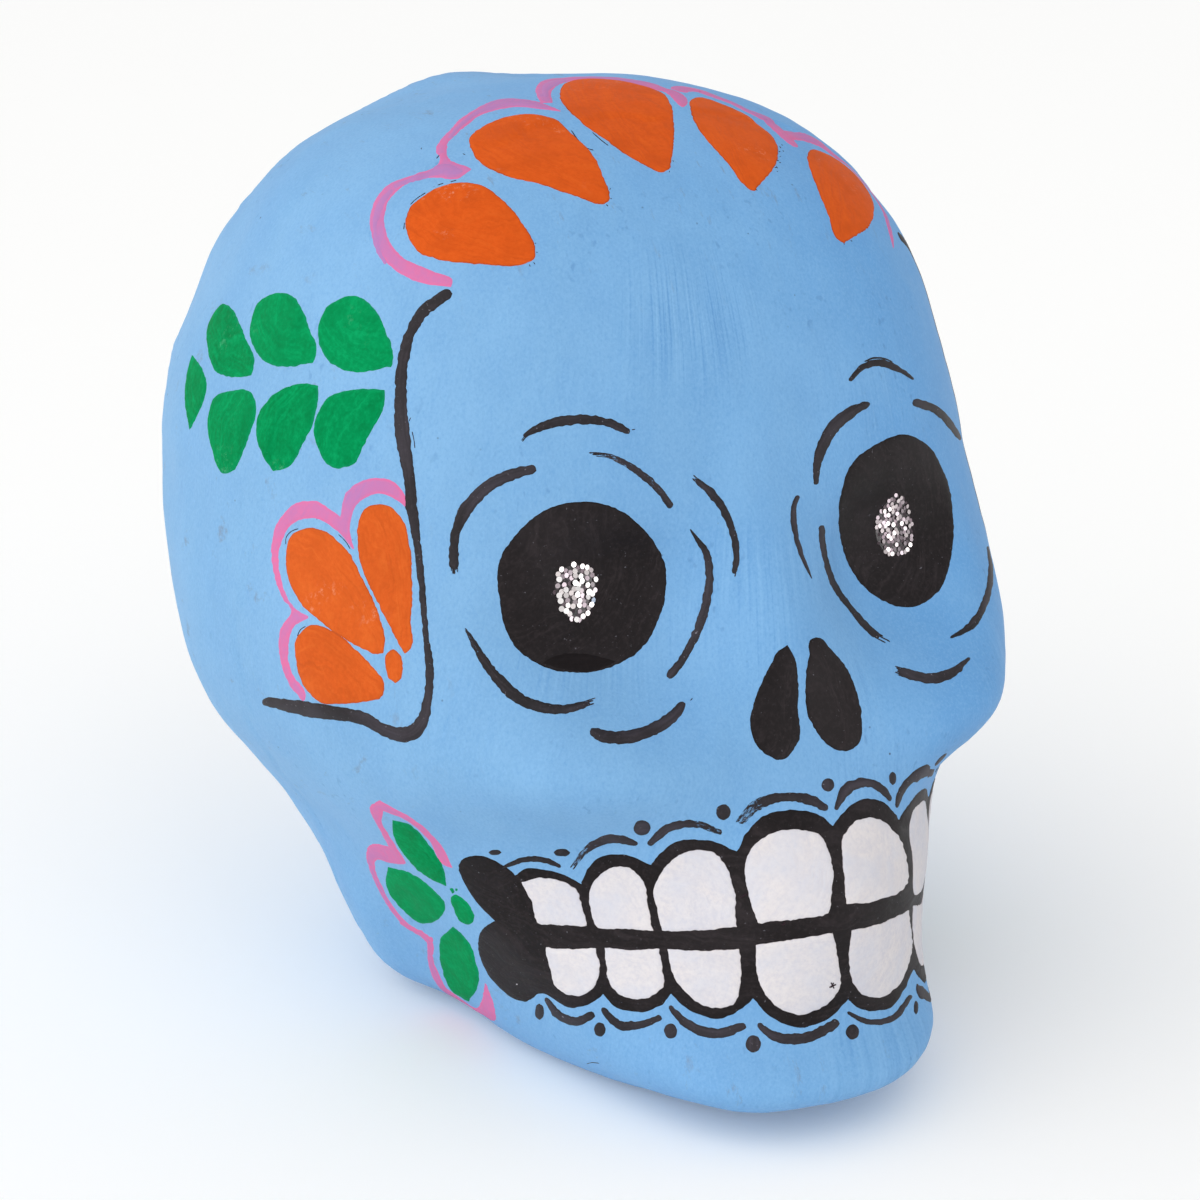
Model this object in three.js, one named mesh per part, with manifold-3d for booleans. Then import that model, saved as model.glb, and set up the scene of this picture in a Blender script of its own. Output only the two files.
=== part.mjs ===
// A painted papier-mache sugar skull about life size: a hollow moulded shell in two halves, the
// pasted paper strips that join them over the crown and down both sides, and the dot of glue and
// glitter in each eye. Millimetres, +Z up, the face looks along -Y and the skull's right is -X.
import * as THREE from "three";
import Module from "manifold-3d";

const wasm = await Module();
wasm.setup();

// Overall sizes of the moulded form
const skullHeight = 175;
const faceReach = 85;
const backReach = 88;
const halfWidth = 80;
const shellWall = 4;
const floorRound = 9.5;
const facetLength = 7.5;

// Where the halves meet, and the strips that are pasted over the joint
const seamSetback = 20;
const pasteGap = 0.4;
const seamGap = 0.3;
const stripThickness = 0.6;
const stripReach = 26;
const stripGap = 0.7;
const stripsPerSide = 9;

// Glue and glitter in the eyes
const glitterHalfWide = 4.8;
const glitterHalfTall = 6;
const glitterHeight = 1.6;
const glueGap = 0.8;
const eyeAsideShare = 0.438;
const eyeUpShare = 0.568;

// How far each bone stands out of the plain form, or sinks into it
const cheekSwell = 9;
const cheekHollow = 9;
const socketDepth = 8.9;
const muzzleSwell = 13.9;
const jawCornerSwell = 6.4;
const chinSwell = 12.8;
const noseSwell = 2.5;

// The form is a stack of rounded sections. Stations run from 0 at the floor to 1 at the widest
// level and on to 2 at the crown, where the dome closes like a quarter circle.
const stationShares = [0, 0.13, 0.35, 0.57, 0.8, 1, 1.33, 1.66, 2];
const frontShares = [0.86, 0.96, 0.89, 0.875, 0.8, 0.665, 0.61, 0.63, 0.54];
const backShares = [0.49, 0.56, 0.66, 0.78, 0.9, 0.98, 1.04, 1.14, 1.23];
const widthShares = [0.5, 0.57, 0.74, 0.94, 1, 0.97, 0.97, 1.11, 1.15];
const middleShares = [0.03, 0.08, 0.145, 0.145, 0.165, 0.24, 0.195, 0.175, 0.155];
const faceSquareness = 2.4;
const backSquareness = 2;
const quarterTurn = Math.PI / 2;
const domeHeight = skullHeight / (1 + quarterTurn);
const widestLevel = skullHeight - domeHeight;

// Bones, each a soft swelling or dish. Places are shares of the half width, the face's reach and
// the height; spreads are shares of the half width. One with no depth lies on the face only.
const softEdge = 1;
const firmEdge = 1.5;
const bones = [
  { swell: cheekSwell, placeShares: [0.457, 0.644, 0.394], spreadShares: [0.257, 0.368, 0.14], edge: softEdge },
  { swell: -cheekHollow, placeShares: [0.46, 0.495, 0.314], spreadShares: [0.256, 0.467, 0.155], edge: softEdge },
  { swell: -socketDepth, placeShares: [0.37, 0, 0.53], spreadShares: [0.22, 0, 0.195], edge: firmEdge },
  { swell: muzzleSwell, placeShares: [0, 0.98, 0.244], spreadShares: [0.318, 0.369, 0.262], edge: softEdge },
  { swell: jawCornerSwell, placeShares: [0.558, -0.016, 0.085], spreadShares: [0.252, 0.148, 0.216], edge: softEdge },
  { swell: chinSwell, placeShares: [0, 0.89, 0.062], spreadShares: [0.466, 0.268, 0.097], edge: softEdge },
  { swell: noseSwell, placeShares: [0, 0, 0.576], spreadShares: [0.109, 0, 0.288], edge: softEdge },
];

// A smooth curve through one row of shares
function shareAt(shares, station) {
  const last = stationShares.length - 1;
  let i = 0;
  while (i < last - 1 && station > stationShares[i + 1]) i += 1;
  const slope = (k) => (shares[k + 1] - shares[k]) / (stationShares[k + 1] - stationShares[k]);
  const span = (k) => stationShares[k + 1] - stationShares[k];
  const knotSlope = (k) => {
    if (k === 0) return slope(0);
    if (k === last) return 0;
    return (slope(k - 1) * span(k) + slope(k) * span(k - 1)) / (span(k) + span(k - 1));
  };
  const t = (station - stationShares[i]) / span(i);
  const rise = t * t * (3 - 2 * t);
  const leave = t * (1 - t) * (1 - t) * span(i) * knotSlope(i);
  const arrive = t * t * (t - 1) * span(i) * knotSlope(i + 1);
  return shares[i] + rise * (shares[i + 1] - shares[i]) + leave + arrive;
}

// The plain section at one height: its middle and its four reaches
function sectionAt(z) {
  const level = THREE.MathUtils.clamp(z, 0, skullHeight);
  const up = THREE.MathUtils.clamp((level - widestLevel) / domeHeight, 0, 1);
  const station = level < widestLevel ? level / widestLevel : 1 + Math.asin(up) / quarterTurn;
  const close = Math.sqrt(Math.max(1 - up * up, 0));
  const middle = shareAt(middleShares, station) * backReach;
  const sink = level < floorRound ? floorRound - Math.sqrt(floorRound ** 2 - (floorRound - level) ** 2) : 0;
  return {
    middle,
    front: (middle + shareAt(frontShares, station) * faceReach) * close,
    back: (shareAt(backShares, station) * backReach - middle) * close,
    side: shareAt(widthShares, station) * halfWidth * close,
    sink,
  };
}

// How far one bone lifts the surface at a point of the plain form
function lift(bone, point, onFace) {
  const reaches = [halfWidth, -faceReach, skullHeight];
  const there = [Math.abs(point.x), point.y, point.z];
  let distance = 0;
  for (let axis = 0; axis < 3; axis += 1) {
    const spread = bone.spreadShares[axis] * halfWidth;
    if (spread > 0) distance += ((there[axis] - bone.placeShares[axis] * reaches[axis]) / spread) ** 2;
    else if (!onFace) return 0;
  }
  return bone.swell * Math.exp(-(distance ** bone.edge));
}

// Distance from the section's middle to the surface, at a height and an angle from the face
function skinRadius(z, angle) {
  const s = sectionAt(z);
  const forward = Math.cos(angle);
  const aside = Math.abs(Math.sin(angle));
  const onFace = forward > 0;
  const reach = onFace ? s.front : s.back;
  if (reach <= 0 || s.side <= 0) return 0;
  const power = onFace ? faceSquareness : backSquareness;
  const sum = Math.abs(forward / reach) ** power + (aside / s.side) ** power;
  const plain = sum ** (-1 / power) - s.sink;
  const point = new THREE.Vector3(plain * aside, s.middle - plain * forward, z);
  return bones.reduce((radius, bone) => radius + lift(bone, point, onFace), plain);
}

function skinPoint(z, angle) {
  const radius = skinRadius(z, angle);
  return new THREE.Vector3(radius * Math.sin(angle), sectionAt(z).middle - radius * Math.cos(angle), z);
}

// How far a point lies outside the surface, level with it; below zero inside
function outside(point) {
  if (point.z >= skullHeight) return point.z - skullHeight + shellWall;
  const y = point.y - sectionAt(point.z).middle;
  return Math.hypot(point.x, y) - skinRadius(point.z, Math.atan2(point.x, -y));
}

// The point where a straight line from inside meets the surface
function meetSkin(origin, direction) {
  let near = 0;
  let far = skullHeight;
  for (let i = 0; i < 40; i += 1) {
    const half = (near + far) / 2;
    if (outside(origin.clone().addScaledVector(direction, half)) < 0) near = half;
    else far = half;
  }
  return origin.clone().addScaledVector(direction, near);
}

// The outward direction of the surface, from its slope over a short step
function outwardAt(point) {
  const step = shellWall / 8;
  const slopes = ["x", "y", "z"].map((axis) => {
    const ahead = point.clone();
    const behind = point.clone();
    ahead[axis] += step;
    behind[axis] -= step;
    return outside(ahead) - outside(behind);
  });
  return new THREE.Vector3(...slopes).normalize();
}

function geometryOf(points, faces) {
  const geometry = new THREE.BufferGeometry();
  geometry.setAttribute("position", new THREE.Float32BufferAttribute(points.flatMap((p) => p.toArray()), 3));
  geometry.setIndex(faces.flat());
  geometry.computeVertexNormals();
  return geometry;
}

// The closed skin of the whole form, in rings from the floor to the crown
function skinGeometry(facet) {
  const sectors = Math.round((2 * Math.PI * halfWidth) / facet);
  const roundSteps = Math.max(2, Math.round((quarterTurn * floorRound) / (facet / 2)));
  const wallSteps = Math.round((widestLevel - floorRound) / facet);
  const domeSteps = Math.round((quarterTurn * domeHeight) / facet);
  const heights = [];
  for (let i = 0; i < roundSteps; i += 1) heights.push(floorRound * (1 - Math.cos((quarterTurn * i) / roundSteps)));
  for (let i = 0; i < wallSteps; i += 1) heights.push(floorRound + ((widestLevel - floorRound) * i) / wallSteps);
  for (let i = 0; i < domeSteps; i += 1) heights.push(widestLevel + domeHeight * Math.sin((quarterTurn * i) / domeSteps));
  const points = [];
  for (const z of heights) {
    for (let k = 0; k < sectors; k += 1) points.push(skinPoint(z, (2 * Math.PI * k) / sectors));
  }
  const floorMiddle = points.push(new THREE.Vector3(0, sectionAt(0).middle, 0)) - 1;
  const crown = points.push(new THREE.Vector3(0, sectionAt(skullHeight).middle, skullHeight)) - 1;
  const faces = [];
  const lastRing = (heights.length - 1) * sectors;
  for (let k = 0; k < sectors; k += 1) {
    const next = (k + 1) % sectors;
    faces.push([floorMiddle, next, k], [crown, lastRing + k, lastRing + next]);
    for (let ring = 0; ring < lastRing; ring += sectors) {
      const a = ring + k;
      const b = ring + next;
      faces.push([a, b, b + sectors], [a, b + sectors, a + sectors]);
    }
  }
  return geometryOf(points, faces);
}

// The same skin moved in by the wall, which is the hollow
function hollowGeometry() {
  const geometry = skinGeometry(2 * facetLength);
  const place = geometry.getAttribute("position");
  const normal = geometry.getAttribute("normal");
  for (let i = 0; i < place.count; i += 1) {
    place.setXYZ(
      i,
      place.getX(i) - shellWall * normal.getX(i),
      place.getY(i) - shellWall * normal.getY(i),
      place.getZ(i) - shellWall * normal.getZ(i),
    );
  }
  return geometry;
}

function solidOf(geometry) {
  return new wasm.Manifold(new wasm.Mesh({
    numProp: 3,
    vertProperties: Float32Array.from(geometry.getAttribute("position").array),
    triVerts: Uint32Array.from(geometry.getIndex().array),
  }));
}

function geometryFromSolid(solid) {
  const mesh = solid.getMesh();
  const geometry = new THREE.BufferGeometry();
  geometry.setAttribute("position", new THREE.BufferAttribute(Float32Array.from(mesh.vertProperties), 3));
  geometry.setIndex(new THREE.BufferAttribute(Uint32Array.from(mesh.triVerts), 1));
  return geometry;
}

// A block that holds everything in front of the joint, or everything behind it
function sideOfSeam(side) {
  const size = 2 * skullHeight;
  const block = new THREE.BoxGeometry(size, size, size);
  block.deleteAttribute("normal");
  block.deleteAttribute("uv");
  block.translate(0, seamSetback + side * (size / 2 + seamGap / 2), skullHeight / 2);
  return solidOf(mergeCorners(block));
}

// A box geometry has each corner three times; here each is kept once
function mergeCorners(geometry) {
  const place = geometry.getAttribute("position");
  const kept = new Map();
  const points = [];
  const indexOf = (i) => {
    const key = [place.getX(i), place.getY(i), place.getZ(i)].map((v) => v.toFixed(3)).join(" ");
    if (!kept.has(key)) kept.set(key, points.push(new THREE.Vector3().fromBufferAttribute(place, i)) - 1);
    return kept.get(key);
  };
  const order = Array.from(geometry.getIndex().array, indexOf);
  const faces = [];
  for (let i = 0; i < order.length; i += 3) faces.push(order.slice(i, i + 3));
  return geometryOf(points, faces);
}

// A thin layer that lies on the skin: its bases are points on the skin, its rim runs round them
function pastedLayer(bases, faces, rim, gap, thicknessOf) {
  const outwards = bases.map(outwardAt);
  const under = bases.map((p, i) => p.clone().addScaledVector(outwards[i], gap));
  const over = bases.map((p, i) => p.clone().addScaledVector(outwards[i], gap + thicknessOf(i)));
  const count = bases.length;
  const all = faces.map((f) => f.map((i) => i + count));
  for (const [a, b, c] of faces) all.push([a, c, b]);
  rim.forEach((a, k) => {
    const b = rim[(k + 1) % rim.length];
    all.push([a, b, b + count], [a, b + count, a + count]);
  });
  return geometryOf([...under, ...over], all);
}

// One torn strip across the joint. Its place along the joint is an angle seen from the middle
// of the form, 0 at the crown.
const jawAngle = THREE.MathUtils.degToRad(149);
const stripReachShares = [1, 0.92, 1.05, 0.96, 1, 0.9, 0.84, 0.7, 0.54];
const skewShares = [0.06, -0.05, 0.03, -0.06, 0.05, -0.03, 0.04, -0.02, 0.02];
function seamStrip(side, index) {
  const along = 3;
  const across = 6;
  const step = jawAngle / stripsPerSide;
  const edge = stripGap / 2 / halfWidth;
  const reach = stripReach * stripReachShares[index % stripReachShares.length];
  const skew = skewShares[index % skewShares.length] * stripReach;
  const core = skullHeight / 2;
  const bases = [];
  for (let i = 0; i <= along; i += 1) {
    for (let j = 0; j <= across; j += 1) {
      const angle = side * (step * index + edge + ((step - 2 * edge) * i) / along);
      const y = seamSetback + reach * ((2 * j) / across - 1) + skew * ((2 * i) / along - 1);
      const direction = new THREE.Vector3(Math.sin(angle), 0, Math.cos(angle));
      bases.push(meetSkin(new THREE.Vector3(0, y, core), direction));
    }
  }
  const at = (i, j) => i * (across + 1) + j;
  const turn = (face) => (side > 0 ? face : [face[0], face[2], face[1]]);
  const faces = [];
  for (let i = 0; i < along; i += 1) {
    for (let j = 0; j < across; j += 1) {
      faces.push(turn([at(i, j), at(i + 1, j), at(i + 1, j + 1)]));
      faces.push(turn([at(i, j), at(i + 1, j + 1), at(i, j + 1)]));
    }
  }
  const rim = [];
  for (let i = 0; i < along; i += 1) rim.push(at(i, 0));
  for (let j = 0; j < across; j += 1) rim.push(at(along, j));
  for (let i = along; i > 0; i -= 1) rim.push(at(i, across));
  for (let j = across; j > 0; j -= 1) rim.push(at(0, j));
  if (side < 0) rim.reverse();
  return pastedLayer(bases, faces, rim, pasteGap, () => stripThickness);
}

// The low heap of glue and glitter in the middle of an eye
function glitterDot(side) {
  const sectors = 16;
  const ringShares = [0.45, 0.8, 1];
  const eyeX = side * eyeAsideShare * halfWidth;
  const eyeZ = eyeUpShare * skullHeight;
  const toFace = new THREE.Vector3(0, -1, 0);
  const onSkin = (x, z) => meetSkin(new THREE.Vector3(x, 0, z), toFace);
  const bases = [onSkin(eyeX, eyeZ)];
  for (const share of ringShares) {
    for (let k = 0; k < sectors; k += 1) {
      const turn = (2 * Math.PI * k) / sectors;
      const x = eyeX + glitterHalfWide * share * Math.cos(turn);
      bases.push(onSkin(x, eyeZ + glitterHalfTall * share * Math.sin(turn)));
    }
  }
  const faces = [];
  const rim = [];
  const outerRing = 1 + (ringShares.length - 1) * sectors;
  for (let k = 0; k < sectors; k += 1) {
    const next = (k + 1) % sectors;
    faces.push([0, 1 + k, 1 + next]);
    for (let ring = 1; ring < outerRing; ring += sectors) {
      faces.push([ring + k, ring + sectors + k, ring + sectors + next]);
      faces.push([ring + k, ring + sectors + next, ring + next]);
    }
    rim.push(outerRing + k);
  }
  const rimShare = 0.3;
  const heightOf = (i) => {
    const ring = i === 0 ? 0 : ringShares[Math.floor((i - 1) / sectors)];
    return glitterHeight * (rimShare + (1 - rimShare) * (1 - ring * ring));
  };
  return pastedLayer(bases, faces, rim, glueGap, heightOf);
}

const paintedPaper = new THREE.MeshStandardMaterial({ color: "#7db3e6", roughness: 0.55, metalness: 0 });
const pastedPaper = new THREE.MeshStandardMaterial({ color: "#7db3e6", roughness: 0.6, metalness: 0 });
const glitter = new THREE.MeshStandardMaterial({ color: "#c9c7cc", roughness: 0.25, metalness: 0.8 });

const skull = new THREE.Group();

function add(name, geometry, material) {
  const mesh = new THREE.Mesh(geometry, material);
  mesh.name = name;
  skull.add(mesh);
}

const shell = solidOf(skinGeometry(facetLength)).subtract(solidOf(hollowGeometry()));
add("face_half", geometryFromSolid(shell.intersect(sideOfSeam(-1))), paintedPaper);
add("back_half", geometryFromSolid(shell.intersect(sideOfSeam(1))), paintedPaper);

for (const [sideName, side] of [["right", -1], ["left", 1]]) {
  for (let index = 0; index < stripsPerSide; index += 1) {
    add(`seam_strip_${sideName}_${index + 1}`, seamStrip(side, index), pastedPaper);
  }
  add(`glitter_dot_${sideName}`, glitterDot(side), glitter);
}

// The origin is on the floor, below the middle of the skull's box
const box = new THREE.Box3().setFromObject(skull);
skull.position.y = -(box.min.y + box.max.y) / 2;
skull.updateMatrixWorld(true);

export default skull;
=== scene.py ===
# %% [markdown]
# # A painted papier-mache sugar skull
# The real one is a hollow shell of pulp and paper, moulded in two halves, pasted together over the
# joint, and painted by hand with acrylic. In Blender that is one fine skin mesh for the paper and a
# thin film of paint for every petal, leaf, tooth and brush line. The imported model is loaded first,
# because it fixes where everything is.

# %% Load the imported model
import math
from types import SimpleNamespace

import bpy
import numpy as np
from mathutils import Matrix, Vector, kdtree
from mathutils.bvhtree import BVHTree
from mathutils.geometry import delaunay_2d_cdt


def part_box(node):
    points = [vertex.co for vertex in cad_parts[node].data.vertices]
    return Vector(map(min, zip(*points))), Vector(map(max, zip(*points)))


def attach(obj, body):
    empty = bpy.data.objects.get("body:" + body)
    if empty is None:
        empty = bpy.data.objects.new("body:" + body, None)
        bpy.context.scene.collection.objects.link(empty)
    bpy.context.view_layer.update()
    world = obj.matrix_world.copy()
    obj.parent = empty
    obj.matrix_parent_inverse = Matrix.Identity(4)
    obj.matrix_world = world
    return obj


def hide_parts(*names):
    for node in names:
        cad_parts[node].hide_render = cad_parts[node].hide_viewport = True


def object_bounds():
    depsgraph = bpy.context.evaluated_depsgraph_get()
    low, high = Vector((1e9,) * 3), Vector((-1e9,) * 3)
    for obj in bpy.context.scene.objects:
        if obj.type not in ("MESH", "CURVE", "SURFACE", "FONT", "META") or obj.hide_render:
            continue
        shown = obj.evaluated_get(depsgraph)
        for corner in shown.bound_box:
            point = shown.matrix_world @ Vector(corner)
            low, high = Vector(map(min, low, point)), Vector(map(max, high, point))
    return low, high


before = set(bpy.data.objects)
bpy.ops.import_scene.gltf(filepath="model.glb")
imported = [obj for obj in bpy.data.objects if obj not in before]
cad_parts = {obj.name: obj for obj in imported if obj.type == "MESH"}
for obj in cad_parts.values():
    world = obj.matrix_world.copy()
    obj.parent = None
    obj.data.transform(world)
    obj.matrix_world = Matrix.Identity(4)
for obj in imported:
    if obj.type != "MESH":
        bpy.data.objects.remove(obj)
cad_low, cad_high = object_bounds()
millimetre = 0.001
print("CAD box in mm:", [round(v / millimetre, 1) for v in (*cad_low, *cad_high)])

# %% [markdown]
# ## The moulded form
# The skull is a stack of rounded sections with soft swellings for the bones, the same shape that
# the solids have. A formula is used because it can be read at any height and angle, so the mesh can
# be much finer than the solids, and the paint can follow it closely.

# %% Sizes of the form, in millimetres
skull_height = 175.0
face_reach = 85.0
back_reach = 88.0
half_width = 80.0
floor_round = 9.5
quarter_turn = math.pi / 2
dome_height = skull_height / (1 + quarter_turn)
widest_level = skull_height - dome_height

station_shares = np.array([0, 0.13, 0.35, 0.57, 0.8, 1, 1.33, 1.66, 2])
front_shares = np.array([0.86, 0.96, 0.89, 0.875, 0.8, 0.665, 0.61, 0.63, 0.54])
back_shares = np.array([0.49, 0.56, 0.66, 0.78, 0.9, 0.98, 1.04, 1.14, 1.23])
width_shares = np.array([0.5, 0.57, 0.74, 0.94, 1, 0.97, 0.97, 1.11, 1.15])
middle_shares = np.array([0.03, 0.08, 0.145, 0.145, 0.165, 0.24, 0.195, 0.175, 0.155])
face_squareness = 2.4
back_squareness = 2.0

# Each bone: how far it swells, its place as shares of half width, face reach and height, its
# spread as shares of the half width, and how sudden its edge is
bones = {
    "cheek": (9.0, (0.457, 0.644, 0.394), (0.257, 0.368, 0.14), 1),
    "cheek hollow": (-9.0, (0.46, 0.495, 0.314), (0.256, 0.467, 0.155), 1),
    "eye socket": (-8.9, (0.37, 0, 0.53), (0.22, 0, 0.195), 1.5),
    "muzzle": (13.9, (0, 0.98, 0.244), (0.318, 0.369, 0.262), 1),
    "jaw corner": (6.4, (0.558, -0.016, 0.085), (0.252, 0.148, 0.216), 1),
    "chin": (12.8, (0, 0.89, 0.062), (0.466, 0.268, 0.097), 1),
    "nose": (2.5, (0, 0, 0.576), (0.109, 0, 0.288), 1),
}

# %% The form as a formula
def share_at(shares, station):
    """A smooth curve through one row of shares."""
    last = len(station_shares) - 1
    i = np.clip(np.searchsorted(station_shares, station) - 1, 0, last - 1)
    span = np.diff(station_shares)
    slope = np.diff(shares) / span
    knot_slope = np.zeros(len(station_shares))
    knot_slope[0] = slope[0]
    knot_slope[1:-1] = (slope[:-1] * span[1:] + slope[1:] * span[:-1]) / (span[1:] + span[:-1])
    t = (station - station_shares[i]) / span[i]
    rise = t * t * (3 - 2 * t)
    leave = t * (1 - t) ** 2 * span[i] * knot_slope[i]
    arrive = t * t * (t - 1) * span[i] * knot_slope[i + 1]
    return shares[i] + rise * (shares[i + 1] - shares[i]) + leave + arrive


def section_at(z):
    """The plain section at each height: its middle and its reach to the front, back and side."""
    up = np.clip((z - widest_level) / dome_height, 0, 1)
    station = np.where(z < widest_level, z / widest_level, 1 + np.arcsin(up) / quarter_turn)
    close = np.sqrt(np.maximum(1 - up * up, 0))
    middle = share_at(middle_shares, station) * back_reach
    below = np.clip(floor_round - z, 0, floor_round)
    sink = floor_round - np.sqrt(floor_round**2 - below**2)
    front = (middle + share_at(front_shares, station) * face_reach) * close
    back = (share_at(back_shares, station) * back_reach - middle) * close
    return middle, front, back, share_at(width_shares, station) * half_width * close, sink


def form_points(z, angle):
    """Points of the form at heights and angles; angle 0 is the middle of the face."""
    middle, front, back, side, sink = section_at(z)
    forward, aside = np.cos(angle), np.abs(np.sin(angle))
    on_face = forward > 0
    reach = np.maximum(np.where(on_face, front, back), 1e-6)
    power = np.where(on_face, face_squareness, back_squareness)
    total = (np.abs(forward) / reach) ** power + (aside / np.maximum(side, 1e-6)) ** power
    plain = total ** (-1 / power) - sink
    there = (plain * aside, middle - plain * forward, z)
    radius = plain.copy()
    reaches = (half_width, -face_reach, skull_height)
    for swell, places, spreads, edge in bones.values():
        distance = 0
        for value, place, spread, reach_here in zip(there, places, spreads, reaches):
            if spread > 0:
                distance = distance + ((value - place * reach_here) / (spread * half_width)) ** 2
        lift = swell * np.exp(-(distance**edge))
        radius += lift if spreads[1] > 0 else np.where(on_face, lift, 0)
    return np.stack([radius * np.sin(angle), middle - radius * forward, z + 0 * radius], -1)


# %% Rows of heights and angles
face_sectors, back_sectors = 300, 130
face_angle = math.radians(100)
face_side = np.linspace(-face_angle, face_angle, face_sectors, endpoint=False)
back_side = np.linspace(face_angle, 2 * math.pi - face_angle, back_sectors, endpoint=False)
angles = np.concatenate([face_side, back_side])

round_rows, wall_rows, dome_rows = 12, 96, 97
low_rows = floor_round * (1 - np.cos(np.linspace(0, quarter_turn, round_rows, endpoint=False)))
wall_part = np.linspace(floor_round, widest_level, wall_rows, endpoint=False)
dome_turns = np.linspace(0, quarter_turn, dome_rows, endpoint=False)
levels = np.concatenate([low_rows, wall_part, widest_level + dome_height * np.sin(dome_turns)])

grid = form_points(*np.meshgrid(levels, angles, indexing="ij"))
# The model's origin is below the middle of its box, so the form moves along with the face half
form_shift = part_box("face_half")[0].y / millimetre - grid[..., 1].min()
grid[..., 1] += form_shift
print("rows and sectors:", grid.shape[:2], "shift in mm:", round(form_shift, 3))

# %% [markdown]
# ## Uneven paper
# Pulp dries with soft dents, each pasted scrap leaves a low step, and the strips over the joint
# stand a little proud. All of it is moved into the mesh along the surface's own direction, because
# dents of this size change the highlights and the outline, which a bump map would not.

# %% Soft random swells
def swells(points, length, seed, count=28):
    """Smooth random values, mostly between -1 and 1, whose bumps lie about a length apart."""
    draw = np.random.default_rng(seed)
    direction = draw.normal(size=(count, 3))
    direction /= np.linalg.norm(direction, axis=1, keepdims=True)
    pitch = length * draw.uniform(0.7, 1.4, count)
    phase = draw.uniform(0, 2 * math.pi, count)
    wave = np.sin(points @ (direction / pitch[:, None]).T * 2 * math.pi + phase)
    return wave.sum(axis=-1) / math.sqrt(count)


def waves(points, rows):
    """Swells on top of each other. Each row is a height, a length and a seed."""
    return sum(height * swells(points, length, seed) for height, length, seed in rows)


def smooth_step(x):
    """0 below 0, 1 above 1, and a soft rise between them."""
    x = np.clip(x, 0, 1)
    return x * x * (3 - 2 * x)


# %% The joint's strips and the pasted scraps, in millimetres
seam_from_origin = 20.0 + form_shift
strip_reach = 26.0
strip_reach_shares = [1, 0.92, 1.05, 0.96, 1, 0.9, 0.84, 0.7, 0.54]
strip_relief = 0.35
strip_edge, strip_end = 2.2, 5.0
torn_waves = ((1.3, 14, 5), (0.5, 4, 6))
jaw_angle = math.radians(149)
scrap_size, scrap_step, scrap_edge = 17, 0.07, 1.6


def strip_height(points):
    """The rise over the joint: full over the strips, with a torn edge, and none below the jaw."""
    around = np.arctan2(np.abs(points[..., 0]), points[..., 2] - skull_height / 2)
    place = around / jaw_angle * len(strip_reach_shares)
    reach = strip_reach * np.interp(place - 0.5, range(len(strip_reach_shares)), strip_reach_shares)
    torn = reach + waves(points, torn_waves)
    inside = smooth_step((torn - np.abs(points[..., 1] - seam_from_origin)) / strip_edge)
    return strip_relief * inside * smooth_step((jaw_angle - around) * half_width / strip_end)


def scrap_height(points, seed=11):
    """Low steps between scraps of paper, each with its own level."""
    draw = np.random.default_rng(seed)
    flat = points.reshape(-1, 3)
    count = int(4 * math.pi * half_width**2 / scrap_size**2)
    middles = flat[draw.choice(len(flat), count, replace=False)]
    tree = kdtree.KDTree(count)
    for i, place in enumerate(middles):
        tree.insert(place, i)
    tree.balance()
    level = draw.uniform(0, scrap_step, count)
    height = np.empty(len(flat))
    for i, place in enumerate(flat):
        (_, first, near), (_, second, far) = tree.find_n(place, 2)
        mine = 0.5 + 0.5 * smooth_step((far - near) / scrap_edge)
        height[i] = level[first] * mine + level[second] * (1 - mine)
    return height.reshape(points.shape[:-1])


# %% Move the relief into the grid
along_angle = np.roll(grid, -1, axis=1) - np.roll(grid, 1, axis=1)
along_level = np.gradient(grid, axis=0)
outward = np.cross(along_angle, along_level)
outward /= np.linalg.norm(outward, axis=-1, keepdims=True)

# Lumps that the photograph's outline shows: place, height and spread
outline_lumps = [
    ((-12, 50, 171), 1.6, 10), ((4, 36, 173), -1.9, 9), ((12, 33, 173), -0.8, 8), ((30, 25, 172), -0.2, 9),
    ((52, 1, 158), -0.6, 12), ((60, -12, 143), 0.6, 10), ((66, -26, 105), 0.3, 10), ((64, -43, 79), 0.6, 9),
    ((-36, -33, 3), 0.2, 10), ((-18, -81, 7), 1.0, 12), ((4, -87, 9), 0.6, 10), ((-75, 43, 94), 0.4, 14),
    ((-70, 51, 119), 0.5, 12), ((-61, 54, 134), 0.3, 10), ((-58, 54, 143), 1.3, 9),
    ((-38, 51, 161), -0.4, 12), ((-44, 1, 5), 0.8, 7), ((-52, 11, 15), -0.4, 7), ((42, -63, 63), 0.6, 7),
]
dent_waves = ((0.2, 46, 1), (0.1, 17, 2), (0.03, 5, 3))
dents = waves(grid, dent_waves)
for place, height, spread_here in outline_lumps:
    dents += height * np.exp(-((grid - place) ** 2).sum(-1) / spread_here**2)
relief = dents + strip_height(grid) + scrap_height(grid)
lowest, highest = (np.array(corner) / millimetre for corner in (cad_low, cad_high))
grid_skin = np.clip(grid + outward * relief[..., None], lowest, highest)
print("relief in mm:", round(relief.min(), 2), "to", round(relief.max(), 2))

# %% [markdown]
# ## One closed mesh for the paper
# Rings of points are joined to quads, the crown is closed with a fan, and the flat underside has a
# few rings of its own. It is one piece, so no crack shows where the halves meet.

# %% Build the skin
floor_shares = [0.8, 0.55, 0.3]
crown_rise = 0.02


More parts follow.
